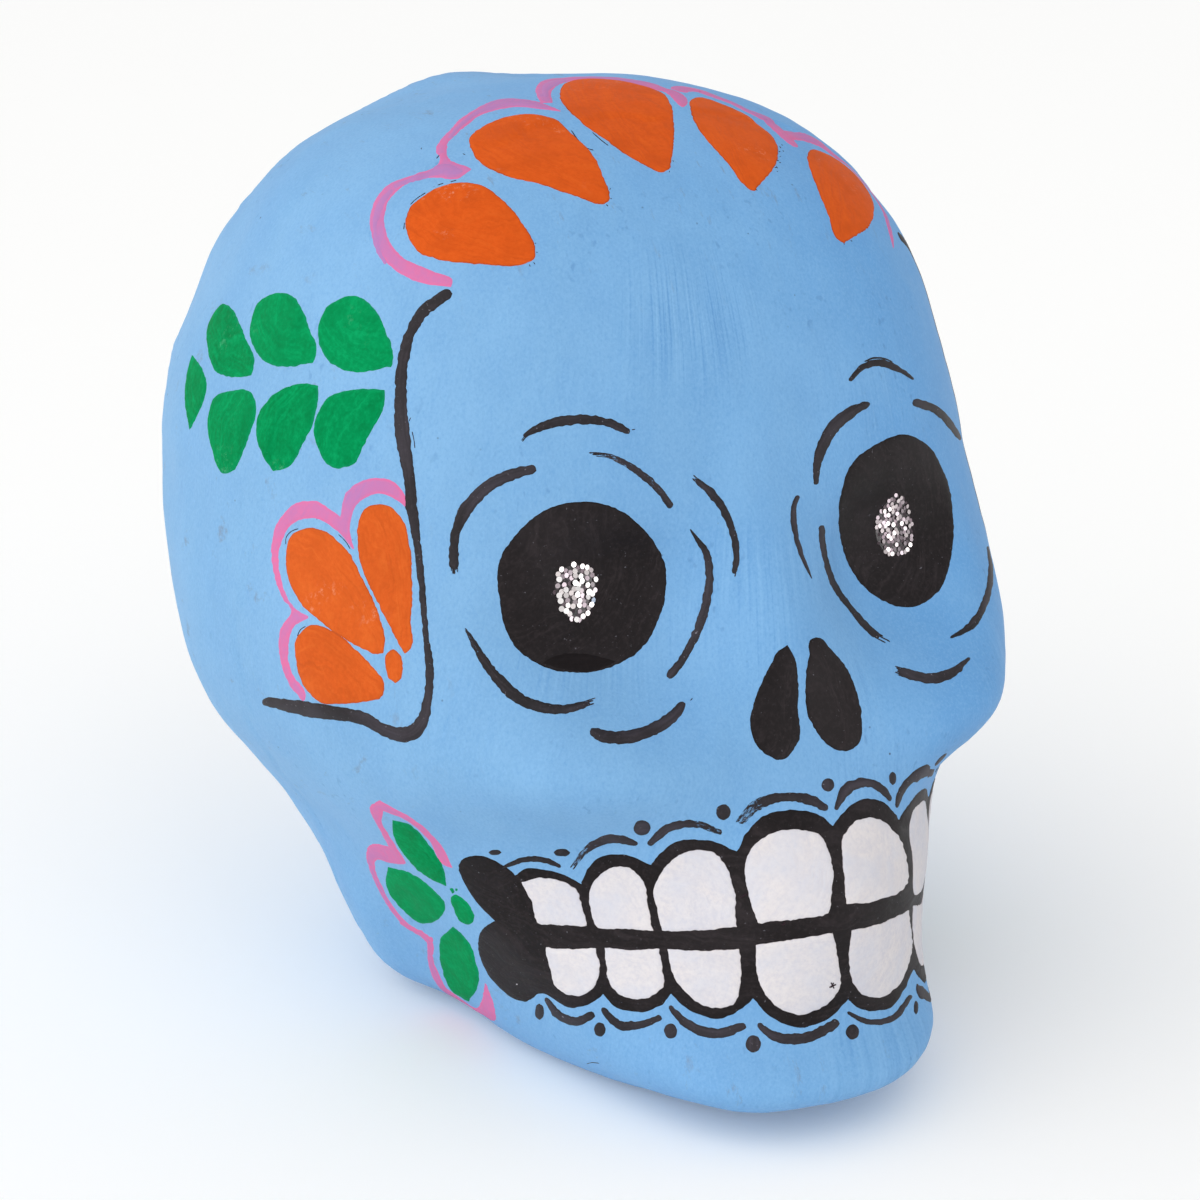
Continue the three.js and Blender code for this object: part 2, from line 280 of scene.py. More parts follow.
def skin_mesh():
    """Points and faces: the underside's rings, the grid's rings and a middle point at either end."""
    sectors = grid_skin.shape[1]
    rim = grid_skin[0]
    floor_middle = np.array([0, form_shift + middle_shares[0] * back_reach, 0])
    floor_rings = [floor_middle + share * (rim - floor_middle) for share in reversed(floor_shares)]
    rings = [*floor_rings, *grid_skin]
    crown = grid_skin[-1].mean(axis=0) + [0, 0, crown_rise]
    points = np.concatenate([*rings, floor_middle[None], crown[None]])
    first, last = np.arange(sectors), (len(rings) - 1) * sectors + np.arange(sectors)
    floor_index, crown_index = len(points) - 2, len(points) - 1
    faces = []
    for ring in range(len(rings) - 1):
        a = ring * sectors + first
        b = ring * sectors + np.roll(first, -1)
        faces += np.stack([a, b, b + sectors, a + sectors], 1).tolist()
    faces += [[floor_index, b, a] for a, b in zip(first, np.roll(first, -1))]
    faces += [[crown_index, a, b] for a, b in zip(last, np.roll(last, -1))]
    return points, [[int(i) for i in face] for face in faces]


skin_points, skin_faces = skin_mesh()
skin_tree = BVHTree.FromPolygons([Vector(p) for p in skin_points], skin_faces)
print("skin:", len(skin_points), "points,", sum(len(f) - 2 for f in skin_faces), "triangles")

# %% Helpers that put a new object into the scene
def into_scene(name, data):
    """A new object, linked to the scene."""
    placed = bpy.data.objects.new(name, data)
    bpy.context.scene.collection.objects.link(placed)
    return placed


def new_piece(name, points, faces, material):
    """A piece from points in millimetres."""
    mesh = bpy.data.meshes.new(name)
    mesh.from_pydata([tuple(v) for v in np.asarray(points) * millimetre], [], faces)
    mesh.update()
    mesh.shade_smooth()
    mesh.materials.append(material)
    piece = into_scene(name, mesh)
    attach(piece, "root")
    return piece


# %% [markdown]
# ## The camera
# The paint was traced on the photograph, so the camera comes before it. Its angle, height and lens
# were found by matching the form's outline and the pairs of eyes, nostrils and petals, and the same
# numbers turn a pixel into a straight line that meets the skin.

# %% Set the camera at the photograph's view
photo_pixels = 1200
photo_middle = photo_pixels / 2
focal_pixels = 3130.0
pixel_size = 0.196
view_azimuth, view_elevation, view_roll = (math.radians(v) for v in (-31.79, 20.02, 1.6))
aim = np.array([-2.4, 0.0, 76.6])

back = np.array([
    math.sin(view_azimuth) * math.cos(view_elevation),
    -math.cos(view_azimuth) * math.cos(view_elevation),
    math.sin(view_elevation),
])
level_right = np.array([math.cos(view_azimuth), math.sin(view_azimuth), 0])
level_up = np.cross(back, level_right)
right = level_right * math.cos(view_roll) + level_up * math.sin(view_roll)
up = level_up * math.cos(view_roll) - level_right * math.sin(view_roll)
eye = aim + back * focal_pixels * pixel_size

sensor = 36.0
camera_data = bpy.data.cameras.new("camera")
camera_data.sensor_width = sensor
camera_data.lens = focal_pixels / photo_pixels * sensor
camera = into_scene("camera", camera_data)
turn = np.stack([right, up, back], axis=1)
camera.matrix_world = Matrix([[*turn[i], eye[i] * millimetre] for i in range(3)] + [[0, 0, 0, 1]])
bpy.context.scene.camera = camera
print("lens in mm:", round(camera_data.lens, 1), "distance in mm:", round(focal_pixels * pixel_size))

# %% [markdown]
# ## From a pixel to the skin
# Each painted shape is a smooth curve through a few pixels. A film of paint is filled with small
# triangles, every corner is cast onto the skin, and then it is lifted by the thickness of the
# paint. Towards its edge the film dips under the skin, so it has a soft rim and no open gap.

# %% Cast pixels onto the skin
picture_core = np.array([610.0, 560.0])
inward_share = 0.002
cast_facing, map_facing = 0.04, 0.12


def split(hits):
    """Hits on the skin as their places and the skin's outward directions there."""
    return np.array([place for place, _ in hits]), np.array([outward for _, outward in hits])


def cast(pixels, least_facing=cast_facing):
    """Where pixels meet the skin. A pixel that misses it, or meets it where it turns away, is moved
    in a little."""
    hits = []
    for pixel in pixels:
        hit = None
        while hit is None or normal.dot(Vector(back)) < least_facing:
            aside, above = (pixel - photo_middle) / focal_pixels * [1, -1]
            hit, normal, *_ = skin_tree.ray_cast(Vector(eye), Vector(aside * right + above * up - back))
            pixel = pixel + (picture_core - pixel) * inward_share
        hits.append((hit, normal))
    return split(hits)


turn_middle = np.array([0, 15, 0])


def to_other_side(places, turned_back, lowered):
    """The same places on the left side, turned back by some degrees, lowered and set down on its skin."""
    angle = math.radians(turned_back)
    cosine, sine = math.cos(angle), math.sin(angle)
    turning = np.array([[cosine, -sine, 0], [sine, cosine, 0], [0, 0, 1]])
    moved = (places * [-1, 1, 1] - turn_middle) @ turning.T + turn_middle - [0, 0, lowered]
    return split([skin_tree.find_nearest(Vector(place))[:2] for place in moved])


# %% [markdown]
# ## Two maps of the skin
# Near the outline the skull is seen almost along its skin, where a step of one pixel is many
# millimetres and a curve cast from the picture would tear. Shapes that reach there are drawn on a
# flat map and set back on the skull from straight outside, so their curves stay smooth. One map is
# the skin unrolled round the head, for the jaw and the temples; the other is for the crown.

# %% The unrolled skin
unroll_radius = 60.0
mouth_shift, mouth_drop = 8.0, 4.0
outside = 2 * half_width


def unrolled(pixels):
    """Pixels on the unrolled skin: how far round the head and how high, in steps of a pixel's size."""
    places, _ = cast(np.array(pixels, float)[:, :2], map_facing)
    middle = section_at(places[:, 2])[0] + form_shift
    turns = np.arctan2(places[:, 0], middle - places[:, 1])
    return np.stack([turns * unroll_radius, places[:, 2]], 1) / pixel_size


def rolled_on(flat):
    """Places on the unrolled skin back on the skull."""
    hits = []
    for across, z in flat * pixel_size:
        turns = across / unroll_radius
        middle = float(section_at(np.array([z]))[0][0]) + form_shift
        out = Vector((math.sin(turns), -math.cos(turns), 0))
        hits.append(skin_tree.ray_cast(Vector((0, middle, z)) + out * outside, -out)[:2])
    return split(hits)


def across_the_edge(places):
    """Places beyond the outline that the photograph shows, given in millimetres on a map."""
    return np.array(places) / pixel_size


def turned_over(flat):
    """The hidden half of the mouth: the seen half turned over, further round and a little lower."""
    return flat[::-1] * [-1, 1] + np.array([mouth_shift, -mouth_drop]) / pixel_size


# %% The map of the crown: directions from the middle of the dome, laid flat
crown_middle = np.array([0, 10, 95])
crown_top = np.array([0, -5, 175])
crown_radius = np.linalg.norm(crown_top - crown_middle)
crown_axis = (crown_top - crown_middle) / crown_radius
crown_side = np.array([1.0, 0, 0])
crown_rear = np.cross(crown_axis, crown_side)


def crown_map(pixels):
    """Pixels on the map of the crown, in steps of a pixel's size."""
    out = cast(np.array(pixels, float)[:, :2], map_facing)[0] - crown_middle
    out /= np.linalg.norm(out, axis=1, keepdims=True)
    flat = np.stack([out @ crown_side, out @ crown_rear], 1)
    tilt = np.arccos(out @ crown_axis)[:, None]
    return flat / np.linalg.norm(flat, axis=1, keepdims=True) * tilt * crown_radius / pixel_size


def on_crown(flat):
    """Places on the crown's map back on the skull."""
    hits = []
    for aside, rearward in flat * pixel_size / crown_radius:
        tilt = math.hypot(aside, rearward) + 1e-9
        level = (crown_side * aside + crown_rear * rearward) / tilt
        out = crown_axis * math.cos(tilt) + level * math.sin(tilt)
        hits.append(skin_tree.ray_cast(Vector(crown_middle + out * outside), Vector(-out))[:2])
    return split(hits)


# %% Brush lines on a map
def sideways(ahead):
    """Unit steps square to the steps of a line or a loop."""
    aside = np.stack([-ahead[:, 1], ahead[:, 0]], 1)
    return aside / np.maximum(np.linalg.norm(aside, axis=1, keepdims=True), 1e-9)


def mapped(path, to_map, widest=18):
    """A brush line in pixels as a line on a map, with the width that it has on the skin."""
    path = np.array(path, float)
    half = sideways(np.gradient(path[:, :2], axis=0)) * path[:, 2:3] / 2
    one, other = to_map(path[:, :2] + half), to_map(path[:, :2] - half)
    width = np.minimum(np.linalg.norm(one - other, axis=1), widest)
    return np.column_stack([(one + other) / 2, width, path[:, 3:]])


# %% Smooth curves through a few points
corner_turn = math.radians(72)


def curve_through(points, spacing, closed):
    """A curve through points of any number of values; a sharp turn stays a corner."""
    points = np.asarray(points, float)
    count = len(points)
    steps = range(count if closed else count - 1)
    ahead = np.array([points[(i + 1) % count] - points[i] for i in range(count)])
    length = np.linalg.norm(ahead[:, :2], axis=1)
    heading = ahead / np.maximum(length, 1e-9)[:, None]

    def tangent(i, leaving):
        """The curve's direction at a point; at a corner it differs before and after."""
        before, after = heading[i - 1], heading[i]
        if not closed and i in (0, count - 1):
            return after if i == 0 else before
        if np.dot(before[:2], after[:2]) < math.cos(corner_turn):
            return after if leaving else before
        return (before * length[i] + after * length[i - 1]) / (length[i] + length[i - 1])

    samples = []
    for i in steps:
        j = (i + 1) % count
        for t in np.arange(0, 1, 1 / max(1, math.ceil(length[i] / spacing))):
            rise = t * t * (3 - 2 * t)
            leave = t * (1 - t) ** 2 * length[i] * tangent(i, True)
            arrive = t * t * (t - 1) * length[i] * tangent(j, False)
            samples.append(points[i] + rise * (points[j] - points[i]) + leave + arrive)
    if not closed:
        samples.append(points[-1])
    return np.array(samples)


# %% Where points lie to an outline
def edge_distance(points, loop):
    """How far each point lies from a closed loop of straight steps."""
    start, step = loop, np.roll(loop, -1, axis=0) - loop
    share = ((points[:, None] - start) * step).sum(-1) / np.maximum((step**2).sum(-1), 1e-9)
    nearest = start + np.clip(share, 0, 1)[..., None] * step
    return np.linalg.norm(points[:, None] - nearest, axis=-1).min(axis=1)


def inside(points, loop):
    """Which points lie within the loop."""
    x, y = points[:, None, 0], points[:, None, 1]
    (x1, y1), (x2, y2) = loop.T, np.roll(loop, -1, axis=0).T
    crosses = (y1 > y) != (y2 > y)
    with np.errstate(divide="ignore", invalid="ignore"):
        at = x1 + (y - y1) / (y2 - y1) * (x2 - x1)
    return (crosses & (x < at)).sum(axis=1) % 2 == 1


# %% Fill an outline with triangles: distances in steps of a pixel's size
edge_spacing = 1.7
fill_spacing = 4.5
rim_pixels = 1.3
edge_gain = 0.3
least_rim_share, field_rim_share = 0.85, 2.2


def loop_steps(loop):
    """At each point of a closed loop, the step from the point before to the point after."""
    return np.roll(loop, -1, axis=0) - np.roll(loop, 1, axis=0)


def turn_sign(loop):
    """1 or -1, so that a step aside times it points out of the loop."""
    area = (loop[:, 0] * np.roll(loop[:, 1], -1) - np.roll(loop[:, 0], -1) * loop[:, 1]).sum()
    return -1 if area > 0 else 1


def fill(loop):
    """Points and triangles inside a loop, with a close row of points along its rim."""
    aside = sideways(loop_steps(loop)) * rim_pixels
    rim = np.concatenate([loop + aside, loop - aside])
    rim = rim[inside(rim, loop) & (edge_distance(rim, loop) > least_rim_share * rim_pixels)]
    low, high = loop.min(axis=0), loop.max(axis=0)
    rows = np.arange(low[1], high[1], fill_spacing * math.sqrt(3) / 2)
    across = np.arange(low[0], high[0], fill_spacing)
    field = np.array([(x + (k % 2) * fill_spacing / 2, y) for k, y in enumerate(rows) for x in across])
    field = field[inside(field, loop)]
    field = field[edge_distance(field, loop) > field_rim_share * rim_pixels]
    every = np.concatenate([loop, rim, field])
    ring = [(i, (i + 1) % len(loop)) for i in range(len(loop))]
    points, _, faces, *_ = delaunay_2d_cdt([Vector(p) for p in every], ring, [], 1, 1e-5)
    return np.array(points), [list(f) for f in faces]


# %% Collect films of paint into one piece
rim_sink = 0.015


class Films:
    """The films of one colour, gathered before they become a piece."""

    def __init__(self, thickness, seed):
        self.thickness = thickness
        self.draw = np.random.default_rng(seed)
        self.points, self.faces, self.looks = [], [], []

    def lay(self, places, outwards, faces, cover, grain, edge, dry):
        """Adds one film. Cover is 1 where the paint has its whole thickness and 0 at its rim."""
        lift = (self.thickness + rim_sink) * cover - rim_sink
        base = sum(len(p) for p in self.points)
        film = places + outwards * lift[:, None]
        first = np.array(faces[0][:3])
        facing = np.cross(film[first[1]] - film[first[0]], film[first[2]] - film[first[0]])
        if np.dot(facing, outwards[first[0]]) < 0:
            faces = [face[::-1] for face in faces]
        self.points.append(film)
        self.faces += [[base + int(i) for i in face] for face in faces]
        tone = np.full(len(film), self.draw.uniform())
        shift = self.draw.uniform(0, 400, 2)
        self.looks.append(np.column_stack([grain + shift, edge, dry, tone]))

    def both_sides(self, places, outwards, faces, mirrored, *look):
        """Adds a film, and the same on the hidden side where it is mirrored."""
        self.lay(places, outwards, faces, *look)
        if mirrored is not None:
            self.lay(*to_other_side(places, *mirrored), faces, *look)

    def piece(self, name, material):
        """Makes the gathered films one piece, with what the material reads at each point."""
        points = np.concatenate(self.points)
        looks = np.concatenate(self.looks)
        mesh = new_piece(name, points, self.faces, material).data
        corner = np.empty(len(mesh.loops), int)
        mesh.loops.foreach_get("vertex_index", corner)
        grain = mesh.uv_layers.new(name="grain")
        grain.data.foreach_set("uv", looks[corner, :2].astype(np.float32).ravel())
        for column, label in ((2, "edge"), (3, "dry"), (4, "tone")):
            store = mesh.attributes.new(label, "FLOAT", "POINT")
            store.data.foreach_set("value", looks[:, column].astype(np.float32))
        print(name + ":", len(points), "points,", len(self.faces), "faces")


# %% [markdown]
# ### The edge of a brush
# A hand-painted edge is never a clean curve: it strays by a few tenths of a millimetre, a line grows
# and shrinks with the pressure, and a dry brush splits into bristle marks. Random values along the
# outline give that edge to the film itself, so that it has a real rim in the light, which a painted
# picture on the skin would not have.

# %% Paint shapes and brush lines
# Unevenness of an edge: how far it strays, and over how many steps it changes
shape_waves = ((0.22, 6), (0.27, 1))
line_waves = ((0.18, 6), (0.34, 1))
least_half_width, end_roundness = 0.3, 0.12
# Bristle marks at a dry end: each mark's width in pixels, where it begins, how much it narrows,
# how far the marks spread over the line's width, and how dry and thick they are
bristle_pixels, bristle_begins, bristle_narrows, bristle_spread = 1.7, 0.75, (0.45, 0.85), 0.9
bristle_dryness, bristle_thickness = 0.4, 0.8
dry_reach, dry_cut, line_dryness = 1.6, 0.7, 0.6


class Paint(Films):
    """Films made from outlines and from brush lines."""

    def uneven(self, count, reach):
        """Random values that change over about a reach of steps."""
        noise = self.draw.normal(size=count + 2 * reach)
        window = np.hanning(2 * reach + 3)[1:-1]
        return np.convolve(noise, window / math.sqrt((window**2).sum()), "valid")[:count]

    def stray(self, count, rows):
        """How far an edge strays at each of its steps."""
        return sum(height * self.uneven(count, reach) for height, reach in rows)

    def shape(self, outline, mirrored=None, onto=cast, ragged=1.0):
        """A filled shape from an outline in pixels, or on a map."""
        loop = curve_through(outline, edge_spacing, closed=True)
        calm_start = np.sin(np.linspace(0, math.pi, len(loop))) ** 0.2
        gain = edge_gain + ragged * self.stray(len(loop), shape_waves) * calm_start
        loop = loop + sideways(loop_steps(loop)) * gain[:, None] * turn_sign(loop)
        pixels, faces = fill(loop)
        distance = edge_distance(pixels, loop)
        middle = loop.mean(axis=0)
        long_way = np.linalg.svd(loop - middle, full_matrices=False)[2][0]
        across = np.array([-long_way[1], long_way[0]])
        grain = (pixels - middle) @ np.stack([across, long_way], 1) * pixel_size
        cover = smooth_step(distance / rim_pixels)
        look = (cover, grain, distance * pixel_size, np.zeros(len(pixels)))
        self.both_sides(*onto(pixels), faces, mirrored, *look)

    def ribbon(self, line, dryness, start_run, mirrored, onto, height=1.0):
        """A ribbon along a line whose points are x, y and width, with uneven sides and round ends."""
        across = sideways(np.gradient(line[:, :2], axis=0))
        run = np.concatenate([[0], np.cumsum(np.linalg.norm(np.diff(line[:, :2], axis=0), axis=1))])
        width = line[:, 2] + 2 * edge_gain
        for end in (run, run[-1] - run):
            tip = np.clip(end / np.maximum(width / 2, 0.5), end_roundness, 1)
            width = width * np.sqrt(1 - (1 - tip) ** 2)
        rough = np.minimum(line[:, 2] / 8, 1)
        strays = [rough * self.stray(len(line), line_waves) for _ in range(2)]
        sides = [np.maximum(width / 2 + stray, least_half_width) for stray in strays]
        inset = np.minimum(rim_pixels, np.minimum(*sides) * 0.6)
        offset = np.stack([-sides[0], inset - sides[0], 0 * width, sides[1] - inset, sides[1]], 1)
        pixels = line[:, None, :2] + offset[..., None] * across[:, None]
        count = offset.shape[1]
        first = np.arange(len(line) - 1)[:, None] * count + np.arange(count - 1)
        faces = np.stack([first, first + 1, first + count + 1, first + count], -1).reshape(-1, 4)
        rim = np.minimum(offset + sides[0][:, None], sides[1][:, None] - offset)
        cover = height * smooth_step(rim / rim_pixels * 1.2)
        cover[0] = cover[-1] = 0
        along = np.repeat((start_run + run)[:, None], count, 1)
        grain = np.stack([offset, along], -1).reshape(-1, 2) * pixel_size
        look = (cover.ravel(), grain, rim.ravel() * pixel_size, np.repeat(dryness, count))
        self.both_sides(*onto(pixels.reshape(-1, 2)), faces, mirrored, *look)

    def stroke(self, path, dry=(0, 0), mirrored=None, onto=cast):
        """A brush line along pixels. Dry is the share of each end that splits into bristle marks, and a
        path's fourth value says how dry the brush was along the way."""
        line = curve_through(path, edge_spacing, closed=False)
        dryness = line[:, 3] if line.shape[1] > 3 else np.zeros(len(line))
        first, last = 0, len(line)
        for from_end, share in enumerate(dry):
            steps = int(share * len(line))
            if steps < 4:
                continue
            order = line[::-1] if from_end else line
            near = np.maximum(0, 1 - np.arange(len(line)) / (dry_reach * steps))
            dryness = np.maximum(dryness, near[::-1] if from_end else near)
            width = order[steps, 2]
            bristles = max(3, round(width / bristle_pixels))
            for k in range(bristles):
                begin = int(steps * self.draw.uniform(0, bristle_begins))
                mark = order[begin : steps + 6].copy()
                share_k = (k + 0.5) / bristles - 0.5
                aside = sideways(np.gradient(mark[:, :2], axis=0))
                mark[:, :2] += aside * (share_k * width * bristle_spread)
                mark[:, 2] = width / bristles * self.draw.uniform(*bristle_narrows)
                dry_here = np.full(len(mark), bristle_dryness)
                self.ribbon(mark, dry_here, 0, mirrored, onto, height=bristle_thickness)
            cut = int(steps * dry_cut)
            first, last = (first, last - cut) if from_end else (first + cut, last)
        rest = slice(first, last)
        self.ribbon(line[rest], line_dryness * dryness[rest], first * edge_spacing, mirrored, onto)


# %% [markdown]
# ## Colours and nodes
# Colours are written as the hex values that a picture editor shows, and one function turns them
# into the linear values that Blender works with. Another adds a node with its settings and links.
# A paint is built like the real one, in layers: random patterns, given by the size of their patches
# in millimetres, say where each tint covers what lies below it, so each material reads like a recipe.

# %% Colours, nodes and materials
def linear(hex_colour):
    """A colour such as #7DB3E6 in Blender's linear values."""
    parts = [int(hex_colour[i : i + 2], 16) / 255 for i in (1, 3, 5)]
    return (*[v / 12.92 if v <= 0.04045 else ((v + 0.055) / 1.055) ** 2.4 for v in parts], 1)


def add(tree, kind, sockets=(), **settings):
    """Adds a node. Sockets maps an input's name or number to a value or to an output to link."""
    node = tree.nodes.new(kind)
    for key, value in settings.items():
        setattr(node, key, value)
    for key, value in dict(sockets).items():
        if isinstance(value, bpy.types.NodeSocket):
            tree.links.new(value, node.inputs[key])
        else:
            node.inputs[key].default_value = value
    return node


def new_material(name, **constants):
    """A material with one shader; a constant is set on the shader's own socket."""
    material = bpy.data.materials.new(name)
    material.use_nodes = True
    tree = material.node_tree
    shader = tree.nodes["Principled BSDF"]
    for socket, value in constants.items():
        shader.inputs[socket.replace("_", " ")].default_value = value
    return material, tree, shader


# %% Patterns and layers
def in_millimetres(tree):
    """The place on the object in millimetres, so that patterns can be given in them."""
    place = add(tree, "ShaderNodeTexCoord").outputs["Object"]
    scaled = add(tree, "ShaderNodeVectorMath", {0: place, "Scale": 1 / millimetre}, operation="SCALE")
    return scaled.outputs[0]


def patterns(tree, **rows):
    """Random patterns by name. A row holds what the pattern reads, the size of its patches in one
    number or in three directions, its detail and roughness and, if it lies askew, its turn."""
    made = SimpleNamespace()
    for name, (reads, size, detail, roughness, *turned) in rows.items():
        way = add(tree, "ShaderNodeMapping", {"Vector": reads, "Scale": 1 / (np.ones(3) * size)})
        if turned:
            way.inputs["Rotation"].default_value = turned[0]
        sockets = {"Vector": way.outputs[0], "Scale": 1.0, "Detail": detail, "Roughness": roughness}
        setattr(made, name, add(tree, "ShaderNodeTexNoise", sockets).outputs[0])
    return made


def amount(tree, *steps, operation="MULTIPLY"):
    """A step holds a pattern, the values at which it starts and is full, and may add the least and the
    most; without them it is used as it is. The steps are multiplied, or joined in another way."""
    made = None
    for pattern, *limits in steps:
        if limits:
            sockets = {0: pattern, **dict(enumerate(limits, 1))}
            pattern = add(tree, "ShaderNodeMapRange", sockets).outputs[0]
        if made is not None:
            pattern = add(tree, "ShaderNodeMath", {0: made, 1: pattern}, operation=operation).outputs[0]
        made = pattern
    return made


def layer(tree, below, tint, *steps):
    """Covers what is below with a tint, by the amount that the steps give."""
    sockets = {0: amount(tree, *steps), 6: below, 7: linear(tint)}
    return add(tree, "ShaderNodeMix", sockets, data_type="RGBA").outputs[2]


def shades(tree, below, pattern, reach, most, light, dark):
    """A light tint over the high half of a pattern and a dark one over its low half."""
    below = layer(tree, below, light, (pattern, 0.5, 0.5 + reach, 0, most))
    return layer(tree, below, dark, (pattern, 0.5, 0.5 - reach, 0, most))


# %% [markdown]
# ### Sky-blue acrylic on gesso
# Matt craft acrylic over sanded paper. The blue is painted warmer on the skull's right side, which
# faces the bright side of the tent, as painted light, and darker on its left side as painted shade.
# Soft clouds and the wide brush make it a shade lighter or darker, and hair-fine bristle lines run up
# and down where the last coat was thin. A fine grain, loose groups of specks and grey rubs come last.
# The contrast of each layer was set by comparing plain patches of the photograph and of the render.

# %% The way of the bristles
# The face's blue; a warmer blue painted on the lit right side as painted light; a darker blue painted on the
# shaded left side as painted shade
blue_face, blue_painted_lit_side, blue_painted_shade_side = "#73A9DA", "#7BAAD2", "#67A2D9"
blue_light, blue_dark = "#86B7E2", "#6097CD"
bristle_width, bristle_length, bristle_lean = 0.65, 30, -0.002
bare_patch, bare_near, bare_far = np.array([688.0, 315.0]), 4, 19


def bristle_lanes(tree, x, y, z):
    """The angle round the head, leaning a little with the height, and the height."""
    forward = add(tree, "ShaderNodeMath", {0: seam_from_origin, 1: y}, operation="SUBTRACT").outputs[0]
    turns = add(tree, "ShaderNodeMath", {0: x, 1: forward}, operation="ARCTAN2").outputs[0]
    sockets = {0: z, 1: bristle_lean, 2: turns}
    leaning = add(tree, "ShaderNodeMath", sockets, operation="MULTIPLY_ADD").outputs[0]
    return add(tree, "ShaderNodeCombineXYZ", {0: leaning, 2: z}).outputs[0]


def bared_by_the_brush(tree, place, y, z, thin_coat):
    """Where bristle lines show: in soft patches of the last coat, and in one on the forehead that the
    photograph shows."""
    forehead = cast([bare_patch])[0][0]
    from_forehead = add(tree, "ShaderNodeVectorMath", {0: place, 1: forehead}, operation="DISTANCE")
    bared = amount(tree, (thin_coat, 0.52, 0.66, 0.03, 0.4), (y, -15, -50, 0.3, 1))
    on_forehead = (from_forehead.outputs["Value"], bare_far, bare_near, 0, 0.8)
    bared = amount(tree, (bared,), on_forehead, operation="MAXIMUM")
    return amount(tree, (bared,), (z, 165, 150))


# %% The blue paint, layer by layer
def blue_paint():
    """The ground of the whole skull: patterns first, then the layers that they place."""
    material, tree, shader = new_material("sky_blue_acrylic", IOR=1.48, Specular_IOR_Level=0.2)
    place = in_millimetres(tree)
    x, y, z = add(tree, "ShaderNodeSeparateXYZ", {0: place}).outputs
    lanes = bristle_lanes(tree, x, y, z)
    made = patterns(
        tree,
        clouds=(place, 40, 2, 0.5),
        mottle=(place, 14, 2, 0.5),
        wide_brush=(place, (6, 6, 45), 2, 0.5),
        thin_coat=(place, 24, 1, 0.5),
        bristles=(lanes, (bristle_width / half_width, 1, bristle_length), 1, 0.5),
        grain=(place, (0.5, 0.5, 0.7), 2, 0.7),
        groups=(place, 16, 2, 0.5),
        specks=(place, (1.5, 1.5, 2.3), 1, 0.5),
        rubs=(place, (2.5, 9, 9), 6, 0.75, (0.3, 0.5, 0.2)),
    )
    # Painted light and shade: a warmer blue over the skull's right side, which faces the bright side of the
    # tent, and a darker blue over its left side, which lies in shade
    colour = layer(tree, linear(blue_face), blue_painted_lit_side, (x, 10, -70))
    colour = layer(tree, colour, blue_painted_shade_side, (x, 12, 36))
    for pattern, reach, most in (
        (made.clouds, 0.2, 0.25), (made.mottle, 0.2, 0.15), (made.wide_brush, 0.22, 0.13),
    ):
        colour = shades(tree, colour, pattern, reach, most, blue_light, blue_dark)
    bared = bared_by_the_brush(tree, place, y, z, made.thin_coat)
    colour = layer(tree, colour, blue_dark, (made.bristles, 0.48, 0.34), (bared,))
    colour = layer(tree, colour, blue_light, (made.bristles, 0.56, 0.7), (bared,))
    colour = shades(tree, colour, made.grain, 0.3, 0.55, blue_light, blue_dark)
    # Specks: small dull dots in loose groups, and now and then a dark one
    colour = layer(tree, colour, "#4F80B4", (made.specks, 0.64, 0.74), (made.groups, 0.52, 0.66, 0, 0.38))
    cells = add(tree, "ShaderNodeTexVoronoi", {"Vector": place, "Scale": 1 / 3.2}).outputs
    chosen = add(tree, "ShaderNodeSeparateColor", {0: cells["Color"]}).outputs[0]
    dots = (cells["Distance"], 0.09, 0.04), (chosen, 0.7, 0.95, 0, 0.9), (made.groups, 0.5, 0.6)
    colour = layer(tree, colour, "#41536B", *dots)
    # Rubs: short grey scratches on the crown, low on the jaw and at the side that is seen
    where = amount(tree, (z, 140, 165), (z, 30, 10), (x, -55, -75), operation="MAXIMUM")
    colour = layer(tree, colour, "#74879F", (made.rubs, 0.6, 0.7, 0, 0.75), (where,))
    tree.links.new(colour, shader.inputs["Base Color"])
    roughness = amount(tree, (made.wide_brush, 0.3, 0.7, 0.5, 0.6))
    tree.links.new(roughness, shader.inputs["Roughness"])
    # Relief: brush marks and the grain of sanded gesso, a few hundredths of a millimetre
    marks = add(tree, "ShaderNodeBump", {
        "Height": made.bristles, "Strength": bared, "Distance": 0.06 * millimetre,
    })
    for height, depth in ((made.wide_brush, 0.15), (made.grain, 0.05)):
        marks = add(tree, "ShaderNodeBump", {
            "Height": height, "Distance": depth * millimetre, "Normal": marks.outputs[0],
        })
    tree.links.new(marks.outputs[0], shader.inputs["Normal"])
    return material


sky_blue = blue_paint()
print("material:", sky_blue.name)
